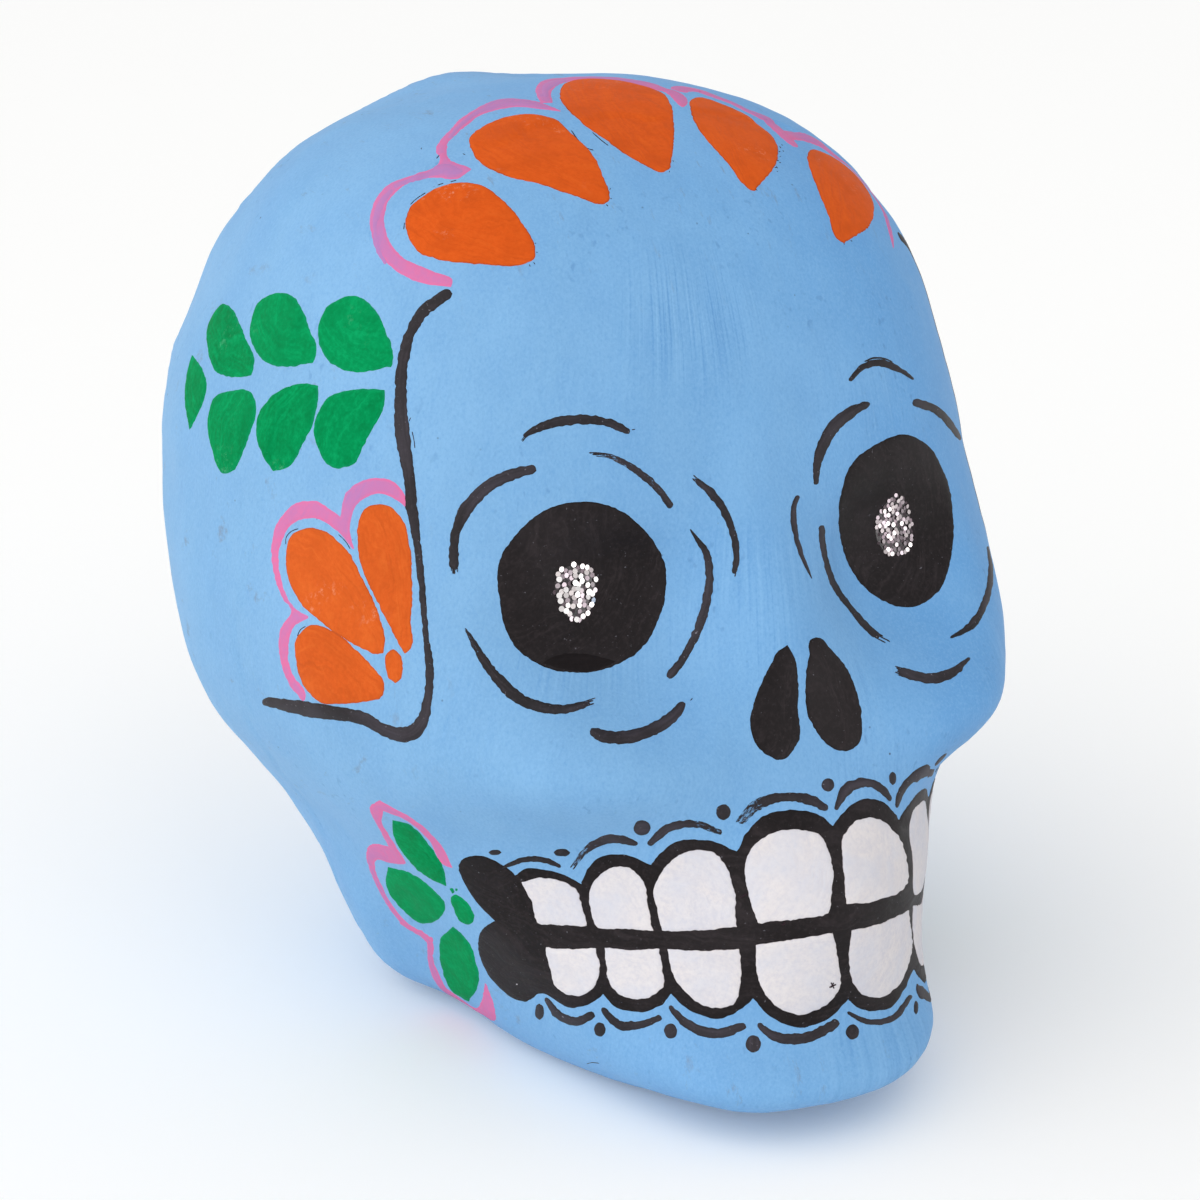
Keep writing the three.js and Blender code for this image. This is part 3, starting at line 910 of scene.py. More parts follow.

# %% [markdown]
# ### Craft acrylic in other colours
# The ornaments are the same kind of paint, put on with a small brush. A petal or a tooth was filled
# in from its outline, so its streaks roughly follow its edge; a line's streaks run along it. The
# paint is thinner in places so that the blue shows through, and on the black paints those paler
# patches also stand for sheen, as painted sheen. It is rubbed pale here and there, and a line that
# runs dry breaks up into flecks.

# %% The other paints
def brushed_paint(
    name, body, deep, pale, rim, rim_share=0.5, rim_reach=0.5, streak=0.5, curved=False, clouded=0.4,
    fibre=0.5, thin=0.0, thin_and_sheen_colour="#74A9DA", patch=15, rubbed=0.0, rub_colour="#E8B090", dust=0.0,
    gloss=0.55, specular=0.06,
):
    """Acrylic from a small brush: deep and pale tints over a body colour, and another at the rim. The
    shares say how strong each layer is, and streaks follow the edge where they are curved."""
    material, tree, shader = new_material(name, IOR=1.48, Specular_IOR_Level=specular)
    place = in_millimetres(tree)
    grain = add(tree, "ShaderNodeUVMap", uv_map="grain").outputs[0]
    edge, dry, tone = (
        add(tree, "ShaderNodeAttribute", attribute_name=label).outputs["Fac"]
        for label in ("edge", "dry", "tone")
    )
    made = patterns(
        tree,
        pools=(place, 6, 3, 0.6),
        patches=(place, patch, 2, 0.5),
        fibres=(place, 0.8, 2, 0.65),
        gaps=(grain, (0.45, 1.3, 1), 3, 0.7),
    )
    # Streaks just under a millimetre across: long in a line, shorter and wandering in a filled shape
    across, along, _ = add(tree, "ShaderNodeSeparateXYZ", {0: grain}).outputs
    if curved:
        sockets = {0: edge, 1: 0.6, 2: across}
        leaning = add(tree, "ShaderNodeMath", sockets, operation="MULTIPLY_ADD").outputs[0]
        across = amount(tree, (leaning,), (made.pools, 0.2, 0.8, 0, 2.5), operation="ADD")
    lane = add(tree, "ShaderNodeCombineXYZ", {0: across, 1: along, 2: tone}).outputs[0]
    streaks = patterns(tree, streaks=(lane, (0.9, 8 if curved else 12, 1 / 9), 3, 0.65)).streaks
    colour = layer(tree, linear(body), deep, (streaks, 0.48, 0.3, 0, streak))
    colour = layer(tree, colour, pale, (streaks, 0.52, 0.72, 0, streak))
    colour = shades(tree, colour, made.fibres, 0.25, fibre, pale, deep)
    colour = layer(tree, colour, deep, (made.pools, 0.48, 0.7, 0, clouded))
    colour = layer(tree, colour, pale, (tone, 0, 1, 0, 0.25))
    # Thin places let the coat below through; on the black paints the paler grey patches also stand for
    # sheen, as painted sheen
    if thin:
        thin_and_sheen_patches = (made.patches, 0.42, 0.62, 0, thin), (streaks, 0.35, 0.6, 0.4, 1)
        colour = layer(tree, colour, thin_and_sheen_colour, *thin_and_sheen_patches)
    near_rim = (edge, rim_reach, 0.2 * rim_reach, 0, rim_share), (made.pools, 0.3, 0.6, 0.2, 1)
    colour = layer(tree, colour, rim, *near_rim)
    # Rubs: pale flecks of 0.3 mm in a few patches
    if rubbed:
        flecks = patterns(tree, flecks=(place, 1.3, 5, 0.75)).flecks
        colour = layer(tree, colour, rub_colour, (flecks, 0.54, 0.68, 0, rubbed), (made.patches, 0.6, 0.7))
    # Dust: pale grains about 0.15 mm across, as the photograph shows them on dark paint
    if dust:
        grains = patterns(tree, grains=(place, 0.55, 2, 0.5)).grains
        colour = layer(tree, colour, "#86848E", (grains, 0.7, 0.79, 0, dust))
    # A dry brush leaves flecks of bare blue between its bristles
    gone = amount(tree, (dry,), (made.gaps,), operation="ADD")
    colour = layer(tree, colour, blue_face, (gone, 1.0, 1.12, 0, 0.75))
    tree.links.new(colour, shader.inputs["Base Color"])
    roughness = amount(tree, (streaks, 0.3, 0.7, gloss - 0.08, gloss + 0.08))
    tree.links.new(roughness, shader.inputs["Roughness"])
    marks = add(tree, "ShaderNodeBump", {"Height": streaks, "Distance": 0.06 * millimetre})
    tree.links.new(marks.outputs[0], shader.inputs["Normal"])
    return material


# %% Mix the paints: body, deep and pale tint and rim of each
pink = brushed_paint(
    "pink_acrylic", "#CC74A6", "#BC76AC", "#D6709E", "#E06C9A", rim_share=0.75, rim_reach=0.7,
    streak=0.6, thin=0.75, thin_and_sheen_colour="#A47CB6",
)
mauve = brushed_paint("thin_pink_acrylic", "#B07AB2", "#A27CB6", "#BE79AE", "#BA7AB0", streak=0.7)
crown_orange = brushed_paint(
    "deep_orange_acrylic", "#D25416", "#BE4A12", "#DA6020", "#8A3C1C", rim_share=0.75, rim_reach=0.35,
    streak=0.65, curved=True, clouded=0.6, fibre=0.4, rubbed=0.6,
)
temple_orange = brushed_paint(
    "light_orange_acrylic", "#CE581E", "#BA4E18", "#DA6A2A", "#A04A26", rim_share=0.6, rim_reach=0.35,
    streak=0.6, curved=True, fibre=0.35, rubbed=0.75,
)
green = brushed_paint(
    "leaf_green_acrylic", "#00864B", "#006E3A", "#0CA262", "#1A8A66", streak=0.6, curved=True,
    clouded=0.5, rubbed=0.3, rub_colour="#6CC09A", specular=0.02,
)
# Its paler grey patches stand partly for thin paint and partly for sheen: painted sheen
black = brushed_paint(
    "warm_black_acrylic", "#181415", "#110E0F", "#342D2F", "#151213", streak=0.65, curved=True,
    thin=0.2, thin_and_sheen_colour="#403A3D", dust=0.45, gloss=0.5, specular=0.12,
)
# Its paler grey patches stand partly for thin paint and partly for sheen: painted sheen
line_black = brushed_paint(
    "thin_black_acrylic", "#1B171B", "#141115", "#383137", "#171417", streak=0.8, thin=0.5,
    thin_and_sheen_colour="#45404A", dust=0.8, gloss=0.5, specular=0.25,
)
white = brushed_paint(
    "tooth_white_acrylic", "#DAD5D7", "#CAC8D1", "#E3DEDE", "#8A6460", rim_share=0.6, rim_reach=0.25,
    streak=0.6, curved=True, fibre=0.7, thin=0.4, thin_and_sheen_colour="#C8CDDC", patch=7,
)
paints = (pink, mauve, crown_orange, temple_orange, green, black, line_black, white)
print("paints:", [paint.name for paint in paints])

# %% The paper piece
paper = new_piece("moulded_skin", skin_points, skin_faces, sky_blue)
covered = [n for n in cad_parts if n.endswith("_half") or n.startswith("seam_strip")]
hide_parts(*covered)
print("the skin stands for", len(covered), "solids")

# %% [markdown]
# ## Orange petals over the forehead
# Five petals fan out below the crown, from one temple to the other. They lie within the photograph
# on both sides, so each is traced where it is seen.

# %% Crown petals
crown_petals = [
    [(455, 183), (480, 185), (500, 198), (523, 224), (534.6, 248), (534, 258), (524, 264), (488, 264.4),
     (440, 259.6), (422, 254), (409, 238), (405.6, 222), (411, 207), (422, 197), (436, 188)],
    [(530, 114), (552, 118), (576, 138), (592, 154), (604, 180), (609.6, 194), (609, 200), (603, 204),
     (576, 196), (540, 184), (508, 176.6), (484, 165), (472, 151), (469.6, 138), (478, 130), (504, 117.6)],
    [(580, 79.4), (600, 79), (636, 84), (662, 93), (671, 106), (674, 132), (671, 162), (669, 169),
     (663, 172), (640, 162.6), (600, 136), (578, 119), (561, 100), (560.6, 90), (568, 82)],
    [(691.4, 100), (700, 97.4), (724, 105), (752, 119), (770, 134), (778, 150), (772, 170), (758, 186),
     (753.6, 190.4), (747, 187), (730, 166), (706, 139), (692.4, 116)],
    [(814, 149.4), (834, 158), (858, 178), (871, 197), (873.6, 212), (868, 227), (848, 240), (843, 243),
     (837.4, 239), (828, 214), (814, 180), (807.4, 158)],
]
crown_paint = Paint(thickness=0.10, seed=21)
for petal in crown_petals:
    crown_paint.shape(crown_map(petal), onto=on_crown)
crown_paint.piece("crown_petals", crown_orange)

# %% [markdown]
# ## Temple flower and leaves
# The photograph shows the skull's right temple. The left one is hidden, so it gets the same
# ornament, moved across the middle and set down on its own skin, as a painter would repeat it.

# %% Temple petals
temple_petals = [
    [(377, 504.6), (390, 507), (404, 523), (409, 544), (412, 582), (411, 620), (409, 650), (405, 653),
     (398, 642), (378, 602), (362, 568), (357.6, 540), (359, 520), (366, 508)],
    [(308, 528), (328, 533), (343, 546), (364, 582), (378, 612), (384.6, 638), (383, 653), (376, 654),
     (354, 644), (320, 621), (302, 605), (289, 580), (286, 560), (291, 536)],
    [(311, 625), (334, 632), (354, 648), (374, 669), (384, 684), (382, 695), (350, 703), (320, 702),
     (306, 689), (296.4, 664), (297, 638)],
    [(393, 649.4), (399.4, 654), (402.4, 667), (400.4, 679), (395, 683.6), (389, 678), (385.6, 665),
     (387.4, 653)],
]
# The hidden side's ornaments lie further back by some degrees, and lower by some millimetres: the
# photograph shows only the start of that side's line and one tooth
temple_back, line_back, jaw_back = (8.0, 0.0), (8.0, 3.0), (9.5, 2.0)
temple_paint = Paint(thickness=0.10, seed=22)
for petal in temple_petals:
    temple_paint.shape(petal, mirrored=temple_back)
temple_paint.piece("temple_petals", temple_orange)

# %% Leaves on the temple and on the jaw
temple_leaves = [
    [(192, 355), (203, 371), (206.6, 387), (201, 408), (189.6, 430), (184.8, 400), (187, 372)],
    [(222, 304), (232, 310), (246, 340), (254, 365), (251, 375), (232, 377), (218, 373), (208, 350),
     (209, 322)],
    [(279, 293), (295, 299), (309, 328), (316, 354), (313, 363), (280, 366.6), (259, 356), (250, 328),
     (257, 304)],
    [(352, 296), (370, 304), (385, 330), (393, 358), (391, 367.6), (356, 372), (331, 363), (318, 334),
     (326, 308)],
    [(231, 391), (253, 395.4), (255.6, 403), (246, 444), (235, 469), (223, 473), (212, 450), (208, 420),
     (214, 398)],
    [(308, 383.6), (318, 386), (317, 406), (304, 442), (288, 467), (273, 471), (260, 448), (257, 420),
     (272, 396)],
    [(384.4, 390), (384, 404), (366, 440), (350, 465.6), (334, 468), (318, 448), (315.6, 420), (328, 398),
     (352, 390)],
]
jaw_leaves = [
    [(392.4, 820), (408, 824), (430, 847), (445, 874), (446, 886), (430, 879), (406, 857), (394, 836)],
    [(388, 867), (408, 872), (432, 889), (445, 908), (440, 918), (424, 923), (404, 911), (386, 884)],
    [(451.4, 897), (456, 894.6), (463, 899), (471, 909), (474, 917), (470.4, 923.6), (464, 923.4),
     (456, 914), (452, 905)],
    [(449.6, 889), (452, 888.4), (454.4, 892), (452.4, 893.6)],
    [(453, 882), (455.4, 883), (455, 886.4), (452.8, 885.6)],
    [(447, 878), (449, 877.6), (449.4, 880), (447.6, 880.4)],
    [(449, 882.6), (450.8, 882.4), (450.6, 884.6), (449, 884.4)],
    [(455.6, 888.4), (457.2, 889), (456.6, 891.2), (455, 890.6)],
    [(453, 926.6), (466, 939), (476, 962), (478, 986), (469, 1001.6), (454, 993), (441, 964), (442, 937)],
]
leaf_paint = Paint(thickness=0.10, seed=23)
for leaf in temple_leaves:
    leaf_paint.shape(unrolled(leaf), mirrored=temple_back, onto=rolled_on)
for leaf in jaw_leaves:
    leaf_paint.shape(leaf, mirrored=jaw_back)
leaf_paint.piece("green_leaves", green)

# %% [markdown]
# ## Pink scallops
# A loose pink line runs round each group of petals. It is traced as a closed band, outer edge first
# and inner edge back, because its width changes with the pressure of the brush.

# %% Pink bands
crown_scallops = [
    [(452.4, 281.6), (451, 287), (426, 284), (398, 272), (376, 248), (370, 218), (378, 196), (390, 184),
     (416, 174), (440, 162), (436, 151), (450, 130), (472, 111), (502, 99), (528, 100), (563.6, 112.4),
     (540, 109), (510, 107.4), (484, 114), (460, 131), (447, 145), (448, 158), (471, 169), (459, 178),
     (426, 178), (400, 188), (385, 212), (387, 236), (402, 257), (434, 272)],
    [(541, 103), (536, 92), (546, 80), (576, 77), (620, 78), (654, 84), (671, 91), (660, 90.6),
     (620, 81.4), (586, 79), (560, 84), (551, 93), (553, 103)],
]
crown_strokes = [
    [(660, 89.6, 3), (671, 92, 5), (677, 96, 9), (681, 103, 5), (682, 107, 2)],
    [(676, 91, 6), (686, 89, 4), (700, 91.4, 3.4), (711, 95.4, 2.8), (723, 99.6, 2.4), (736, 105, 2.4),
     (748, 111, 2.8), (758, 115.4, 4), (766, 119, 6), (773, 125, 8.4), (781, 133, 10), (788, 140, 9),
     (796, 147.4, 3)],
    [(783, 137, 5), (791, 135.6, 7), (800, 136.4, 7), (809, 139, 6.4), (817, 142.6, 5.4), (826, 148.6, 4),
     (836, 156.6, 2.6)],
]
# The last scallop goes on where the skin turns away: millimetres on the crown's map, and the width
last_scallop = [
    (53.2, -0.8, 1.5), (55.8, -3.8, 1.4), (57.6, -7.4, 1.5), (58.2, -11.4, 1.7), (57.9, -15.2, 1.8),
    (57.4, -18.8, 1.7), (56.9, -21.8, 1.2), (56.5, -24, 0.4),
]
temple_scallops = [
    [(406, 508), (405, 496), (388, 479.6), (366, 479.6), (347, 492), (340.4, 517), (333, 511.6),
     (316, 501.6), (296, 503.6), (276, 526), (272.4, 562), (282, 597), (291, 611), (281, 628), (280, 658),
     (291, 687), (303, 701), (305, 698), (291, 672), (288, 648), (294, 627), (310, 617), (296, 609),
     (280, 574), (279.6, 548), (292, 524), (312, 518), (340, 534), (356, 553.6), (350, 530), (357, 504),
     (378, 493.4), (400, 502)],
]
jaw_stroke = [(400, 921, 4), (412, 929, 4.4), (423, 935, 5), (430, 943, 5.4), (431, 956, 5)]
jaw_scallops = [
    [(452.6, 868), (446, 866), (428, 839), (404, 819), (383, 810.6), (382, 823), (398, 850), (405.4, 863),
     (396, 864), (376, 860), (380, 882), (398, 913), (420, 933), (433, 937.6), (433, 958), (446, 988),
     (474, 1008), (482, 1000), (485.4, 982.6), (493, 1002), (495.6, 1020), (478, 1014), (446, 994),
     (429, 966), (427, 940), (402, 924), (383, 898), (368, 864), (368, 848), (376, 843.6), (389, 847),
     (380, 830), (370.4, 806), (380, 800.6), (410, 817), (440, 844)],
]
pink_paint = Paint(thickness=0.08, seed=24)
for band in crown_scallops:
    pink_paint.shape(crown_map(band), onto=on_crown)
for path, rest in zip(crown_strokes, ([], [], last_scallop)):
    line = mapped(path, crown_map)
    pink_paint.stroke(np.concatenate([line, across_the_edge(rest)]) if rest else line, onto=on_crown)
for band in temple_scallops:
    pink_paint.shape(band, mirrored=temple_back)
for band in jaw_scallops:
    pink_paint.shape(unrolled(band), mirrored=jaw_back, onto=rolled_on)
pink_paint.stroke(jaw_stroke, mirrored=jaw_back)
pink_paint.piece("pink_scallops", pink)

# %% [markdown]
# ## Where the pink is thin
# A second, drier stroke of pink over blue looks mauve along the middle of the crown bands. It is a
# film of its own over them, because a mere change of colour would show no edge of a brush.

# %% Thin pink
crown_thin = [
    [(386, 264, 3), (378, 248, 5), (375, 224, 6.4), (381, 204, 6.6), (393, 189, 5)],
    [(393, 188, 5), (408, 181, 5), (428, 175, 6.4), (444, 169.4, 11), (456, 171.4, 8), (464, 171, 3)],
    [(449, 139, 3), (462, 124, 3.4), (484, 110, 3.4), (506, 103.6, 3.6), (530, 104.6, 4), (544, 107.4, 3)],
    [(546, 98, 5), (546, 90, 5), (552, 84, 4), (566, 80, 2)],
]
thin_paint = Paint(thickness=0.1, seed=30)
for path in crown_thin:
    thin_paint.stroke(mapped(path, crown_map), onto=on_crown)
thin_paint.piece("thin_pink", mauve)

# %% [markdown]
# ## Eyes and nostrils
# Flat black shapes in the sockets and either side of the nose. Those on the left are seen too, so
# they are traced, not mirrored.

# %% Black shapes
black_shapes = {
    "right eye": [(580, 502), (617.5, 509), (642.5, 529), (662.5, 557.5), (666, 578), (661, 612.5),
                  (644, 646), (615, 665), (580, 672.5), (540, 665), (512.5, 642.5), (499.5, 600),
                  (500, 560), (520, 530), (548, 509)],
    "left eye": [(904, 434.5), (926, 444), (945, 475), (953, 515), (950.5, 560), (938, 592), (912, 607),
                 (886, 602), (858, 580), (841, 540), (841, 495), (854, 461), (877.5, 444)],
    "right nostril": [(787.5, 645), (793, 654), (797.5, 675), (798, 712), (800, 733), (794, 750),
                      (780, 759.7), (762, 751), (750.6, 730), (754, 703), (767, 672), (780, 650)],
    "left nostril": [(816, 637.5), (833, 652), (849, 673), (859, 702), (862, 724), (858, 744),
                     (842, 751.6), (822, 739), (809, 718), (805.5, 687), (809, 655), (811, 640)],
}
eye_paint = Paint(thickness=0.10, seed=25)
for outline in black_shapes.values():
    eye_paint.shape(outline)
eye_paint.piece("black_eyes_and_nostrils", black)
# Below the near eye's middle a darker band of black is painted along the soft fold at the socket's lower
# lip: painted shade of the crease
crease_shade_paint = Paint(thickness=0.13, seed=31)
crease_shade_paint.shape([
    (541, 663.6), (552, 656.4), (566, 653), (584, 653.2), (602, 657), (618, 661.4), (606, 667.4),
    (592, 671.6), (580, 672.6), (560, 669.4),
])
# A darker black without paler patches or dust, for the painted shade of the crease
painted_crease_shade_material = brushed_paint("painted_crease_shade_black", "#1B1718", "#151213", "#221D1E", "#201B1C", gloss=0.5)
crease_shade_paint.piece("painted_crease_shade", painted_crease_shade_material)

# %% [markdown]
# ## Brush lines
# Each line is a ribbon along a smooth path with its own width, and some ends run dry. The long line
# down the side of the face is mirrored; the lines round both eyes and the mouth are traced.

# %% Lines round the eyes
dry_end = 0.3
eye_lines = [
    ([(521, 441, 2, 0.6), (525, 436, 4, 0.5), (540, 427.5, 8, 0.1), (580, 419.5, 9.5, 0),
      (610, 423, 8, 0.2), (630, 432.5, 6, 0.5)], (0.07, 0.03)),
    ([(536, 468, 9), (525, 471, 10), (490, 485, 12), (467.8, 507.2, 12.4), (455, 537.5, 9), (454, 565, 9),
      (455, 576, 4)], (0, 0.07)),
    ([(580, 454, 2, 1), (610.4, 456.6, 5, 0.8), (640.6, 473.6, 7, 0.6), (656, 487, 7, 0.7),
      (672, 507.5, 6, 0.4)], (dry_end, 0)),
    ([(692, 476, 4, 0.7), (715.5, 497.5, 8, 0.5), (731.6, 528.4, 6.6, 0.6), (736.4, 560, 6, 0.3),
      (733.4, 577, 4, 0.6)], (0.08, 0.06)),
    ([(690, 529, 1), (697.5, 540, 4), (706, 552.5, 7), (709.4, 575, 7.5), (699.4, 625, 8.6), (682, 660, 7),
      (668, 678, 8)], (0, 0)),
    ([(465, 628, 1.6, 0.8), (473.4, 643, 5.6, 0.7), (493.4, 673.4, 9.4, 0.3), (523.6, 700.6, 11, 0.1),
      (562.5, 709.2, 8.6, 0), (598.6, 699.6, 6, 0.7)], (0, 0.1)),
    ([(590, 730.4, 8), (603, 735.8, 11.4), (620, 737.4, 13), (656.8, 727.4, 12), (679.4, 709.4, 10),
      (684, 702, 7)], (0, 0)),
    ([(849, 381, 4), (865, 366, 6), (876, 362.8, 6.8), (902.5, 371.6, 5), (914, 379.5, 2)], (0, 0)),
    ([(870, 403, 4), (855, 409.6, 10), (830, 432, 12), (817.4, 462.5, 8.4), (816, 485, 4)], (0, 0)),
    ([(912.5, 401.6, 9), (935, 409.4, 7.6), (953.2, 428.4, 6.4), (961, 440, 4)], (0, 0)),
    ([(798, 495, 4), (794, 507.5, 6), (797.2, 540, 5.2), (803.4, 559.4, 4.4), (812, 579, 1)], (0, 0)),
    ([(821.5, 525, 6), (822.4, 540, 6), (832.4, 580.8, 6), (860, 619, 6.5), (874, 633.4, 7),
      (890, 642.5, 3)], (0, 0.12)),
    ([(987.5, 546, 2), (990.5, 565, 4.5), (985.8, 600, 6), (971.6, 625.2, 8), (950, 638, 2)], (0, 0)),
    ([(893.6, 669.6, 9.6), (932.5, 678.4, 10), (950, 674, 10), (970, 657.5, 3)], (0.1, 0)),
    ([(864, 361.8, 1), (874, 358, 1.8), (884, 358.6, 1.4), (893, 362, 0.8)], (0, 0)),
]
side_line = [
    (451, 291, 10), (435, 302, 12), (421, 314, 11), (411, 332, 10), (401.5, 370, 11), (400.6, 398, 12),
    (402, 430, 14), (409.5, 480, 11), (411.7, 508, 11.4), (416, 535, 8), (421.5, 582, 7), (426.5, 641, 6),
    (429.2, 662, 7.6), (427.2, 702, 9), (422, 721.4, 11.6), (415, 730.6, 15), (405, 734.8, 16),
    (389, 731.6, 12.4), (359, 717.5, 12.6), (341, 714, 13.6), (320, 711, 14.4), (301, 708, 14),
    (283, 704.4, 11.6), (271, 702.4, 9.6), (262, 701.6, 6.4),
]
# Its rear end runs dry, from this pixel on
dry_from, dry_over = 350, 90
side_line = [(*point, 0.5 * max(0, (dry_from - point[0]) / dry_over)) for point in side_line]

# %% Lines and dots round the mouth
lines_above = [
    ([(501, 868.6, 2), (511, 864, 4), (524, 859.6, 5), (548, 861, 5), (561, 867, 3)], (0, 0)),
    ([(571.4, 869, 4, 0.9), (586.6, 849.8, 6.6, 0.8), (610, 838.8, 9, 0.3), (638, 843.6, 5, 0.2)],
      (0.15, 0)),
    ([(648, 845, 5, 0), (670.6, 827, 8.4, 0.3), (698, 824.4, 6.4, 0.7), (722, 833, 5, 0.7)], (0, 0)),
]
lines_above_middle = [
    ([(734.8, 828.4, 7, 0.9), (757, 805, 10.6, 0.8), (786, 797, 8, 0.3), (812, 801, 9.6, 0.1),
      (828, 809.4, 6, 0)], (0.12, 0)),
    ([(835, 810, 4), (849.4, 787.2, 11), (866, 782.6, 9), (881.4, 788.8, 8), (891, 801, 4)], (0, 0)),
]
# Two lines and a dot lie on the outline; they go on in millimetres on the unrolled skin
lines_over_edge = [
    ([(897, 808, 4), (899, 796.8, 6.4), (905.6, 785, 7.4), (913.4, 776.8, 8.6), (920.6, 773.2, 10)],
     [(18.7, 59.7, 1.8), (21.3, 58.1, 1.5), (24, 55.8, 0.6)]),
    ([(916, 986, 3), (918.6, 990.4, 5), (923, 992, 5.4)],
     [(19.2, 15.4, 1.3), (22.4, 14.4, 1.3), (25.2, 15.8, 0.6)]),
]
dot_over_edge = (21.2, 61.4, 1.1, 1.4)
dots_above = [(495, 852.6, 6.5, 2.6), (562, 852.6, 8, 3.5), (642, 828, 8.5, 7.5)]
dots_above_middle = [(723.6, 812, 7, 7.7), (828, 785, 6.2, 6.6), (892.6, 778.4, 3.6, 6.6)]
lines_below = [
    ([(545, 998, 5), (562, 1017.6, 8.4), (575, 1021.4, 9.4), (594.4, 1013.6, 8)], (0, 0)),
    ([(601.6, 1008, 5), (620, 1025, 9), (644, 1023.8, 7), (661.4, 1016.6, 6.4)], (0, 0)),
    ([(669, 1006, 5), (690, 1026, 9), (716, 1033.4, 10), (746, 1025.4, 8.4)], (0, 0)),
]
lines_below_middle = [
    ([(757.4, 1024, 5), (776, 1036.6, 9.6), (808, 1037.4, 9.8), (839, 1021.4, 9)], (0, 0)),
    ([(847, 1012.4, 3), (868, 1021.6, 5.6), (892, 1018.4, 6.4), (911.6, 995, 4.4)], (0, 0)),
]
dots_below = [(539.4, 1011.6, 4.4, 8), (600, 1029.6, 5.4, 7), (670.6, 1031, 6.4, 7.6)]
dots_below_middle = [(753.4, 1044, 7.6, 8.6), (852.4, 1032, 6.6, 7.6), (916, 1007.6, 2.2, 7)]


def dot_outline(x, y, half_wide, half_tall, corners=8):
    """A round or oval dot as an outline of a few points."""
    turns = np.arange(corners) * 2 * math.pi / corners
    return [(x + half_wide * math.cos(t), y + half_tall * math.sin(t)) for t in turns]


line_paint = Paint(thickness=0.10, seed=26)
line_paint.stroke(side_line, mirrored=line_back)
for path, dry in eye_lines + lines_above_middle + lines_below_middle + lines_above + lines_below:
    line_paint.stroke(path, dry)
for seen, hidden in lines_over_edge:
    line_paint.stroke(np.concatenate([mapped(seen, unrolled), across_the_edge(hidden)]), onto=rolled_on)
for dot in dots_above_middle + dots_below_middle + dots_above + dots_below:
    line_paint.shape(dot_outline(*dot), ragged=0.6)
line_paint.shape(across_the_edge(dot_outline(*dot_over_edge)), onto=rolled_on, ragged=0.6)
for path, dry in lines_above[:-1] + lines_below[:-1]:
    flat = turned_over(unrolled(path))
    line_paint.stroke(np.column_stack([flat, [point[2] for point in reversed(path)]]), onto=rolled_on)
for dot in dots_above + dots_below:
    line_paint.shape(turned_over(unrolled(dot_outline(*dot))), onto=rolled_on, ragged=0.6)
line_paint.piece("black_lines", line_black)

# %% [markdown]
# ## Hair-fine brown marks
# Stray bristles left thin dark marks beside the crown petals, at their tips and on two teeth. They
# could be dots of a pattern, but a pattern would put them anywhere, so each is a short stroke.

# %% Stray marks
stray_marks = [
    [(410, 205), (416, 199), (426, 192.4)], [(411, 208), (418, 201)], [(437, 185.4), (444, 183)],
    [(450, 182), (457, 180)], [(404.6, 222), (403.6, 230)],
    [(571, 130), (579, 141), (587, 148), (594, 150.4)], [(592, 132), (601, 140), (609, 146)],
    [(421, 147), (421.6, 150)], [(436, 159), (442, 152)], [(462, 153.4), (466, 155)],
    [(534, 244), (537, 242.6)], [(535.4, 252), (538.4, 252.6)], [(533, 262), (535.6, 264.6)],
    [(529, 264), (530.6, 267)], [(609, 190), (611.4, 188)], [(609.6, 198), (612.4, 199)],
    [(606, 204), (608.4, 206.6)], [(672, 160), (674.4, 162)], [(669, 170), (670, 173)],
    [(755, 189), (758, 190.6)], [(774, 168), (777.4, 167)], [(778, 152), (781, 151)],
    [(776, 160), (779.4, 161)], [(843, 243), (845.4, 245)], [(850, 240), (853, 241.6)],
    [(779, 146), (781.6, 148.4)], [(782, 150), (784.6, 152)], [(779, 157), (781.6, 156)],
    [(778.6, 162), (781.6, 163)], [(776, 166), (778, 169)], [(779, 171), (776, 172)],
    [(781, 144), (783, 146)], [(285.6, 545), (286.4, 537), (291, 531.6), (299, 528.4)],
    [(338, 534), (346, 542), (350.6, 549.6)], [(297, 637), (300.6, 629.6), (306, 626)],
    [(341, 633.6), (350, 641)], [(586, 1064), (592, 1062.6), (600, 1063.4)], [(690, 701), (693, 697.6)],
    [(631, 430), (636, 429)], [(408.6, 422), (411, 417)], [(412, 431), (414, 440), (415, 449)],
]
tooth_marks = [
    [(740, 897.6), (748, 893.6)], [(781, 925), (784.4, 923.6), (784, 921)], [(828, 987.6), (836.4, 983.4)],
    [(830, 981), (834, 989)], [(833.6, 981.4), (830, 988)], [(831.6, 983.6), (832.6, 986.4)],
]
mark_paint = Paint(thickness=0.06, seed=29)
for marks, mark_width, thickness in ((stray_marks, 0.8, 0.06), (tooth_marks, 2.0, 0.32)):
    mark_paint.thickness = thickness
    for path in marks:
        mark_paint.stroke([(x, y, mark_width) for x, y in path])
brown = brushed_paint("brown_bristle_marks", "#2E2228", "#221A1E", "#463438", "#2E2228", streak=0.3)
mark_paint.piece("stray_marks", brown)

# %% [markdown]
# ## The mouth
# A black band holds two rows of white teeth and goes round both corners of the jaw. Half of it is
# hidden in the photograph, so its outline is built on the unrolled skin: the angle round the head
# one way and the height the other, where the hidden half is the seen half turned over.

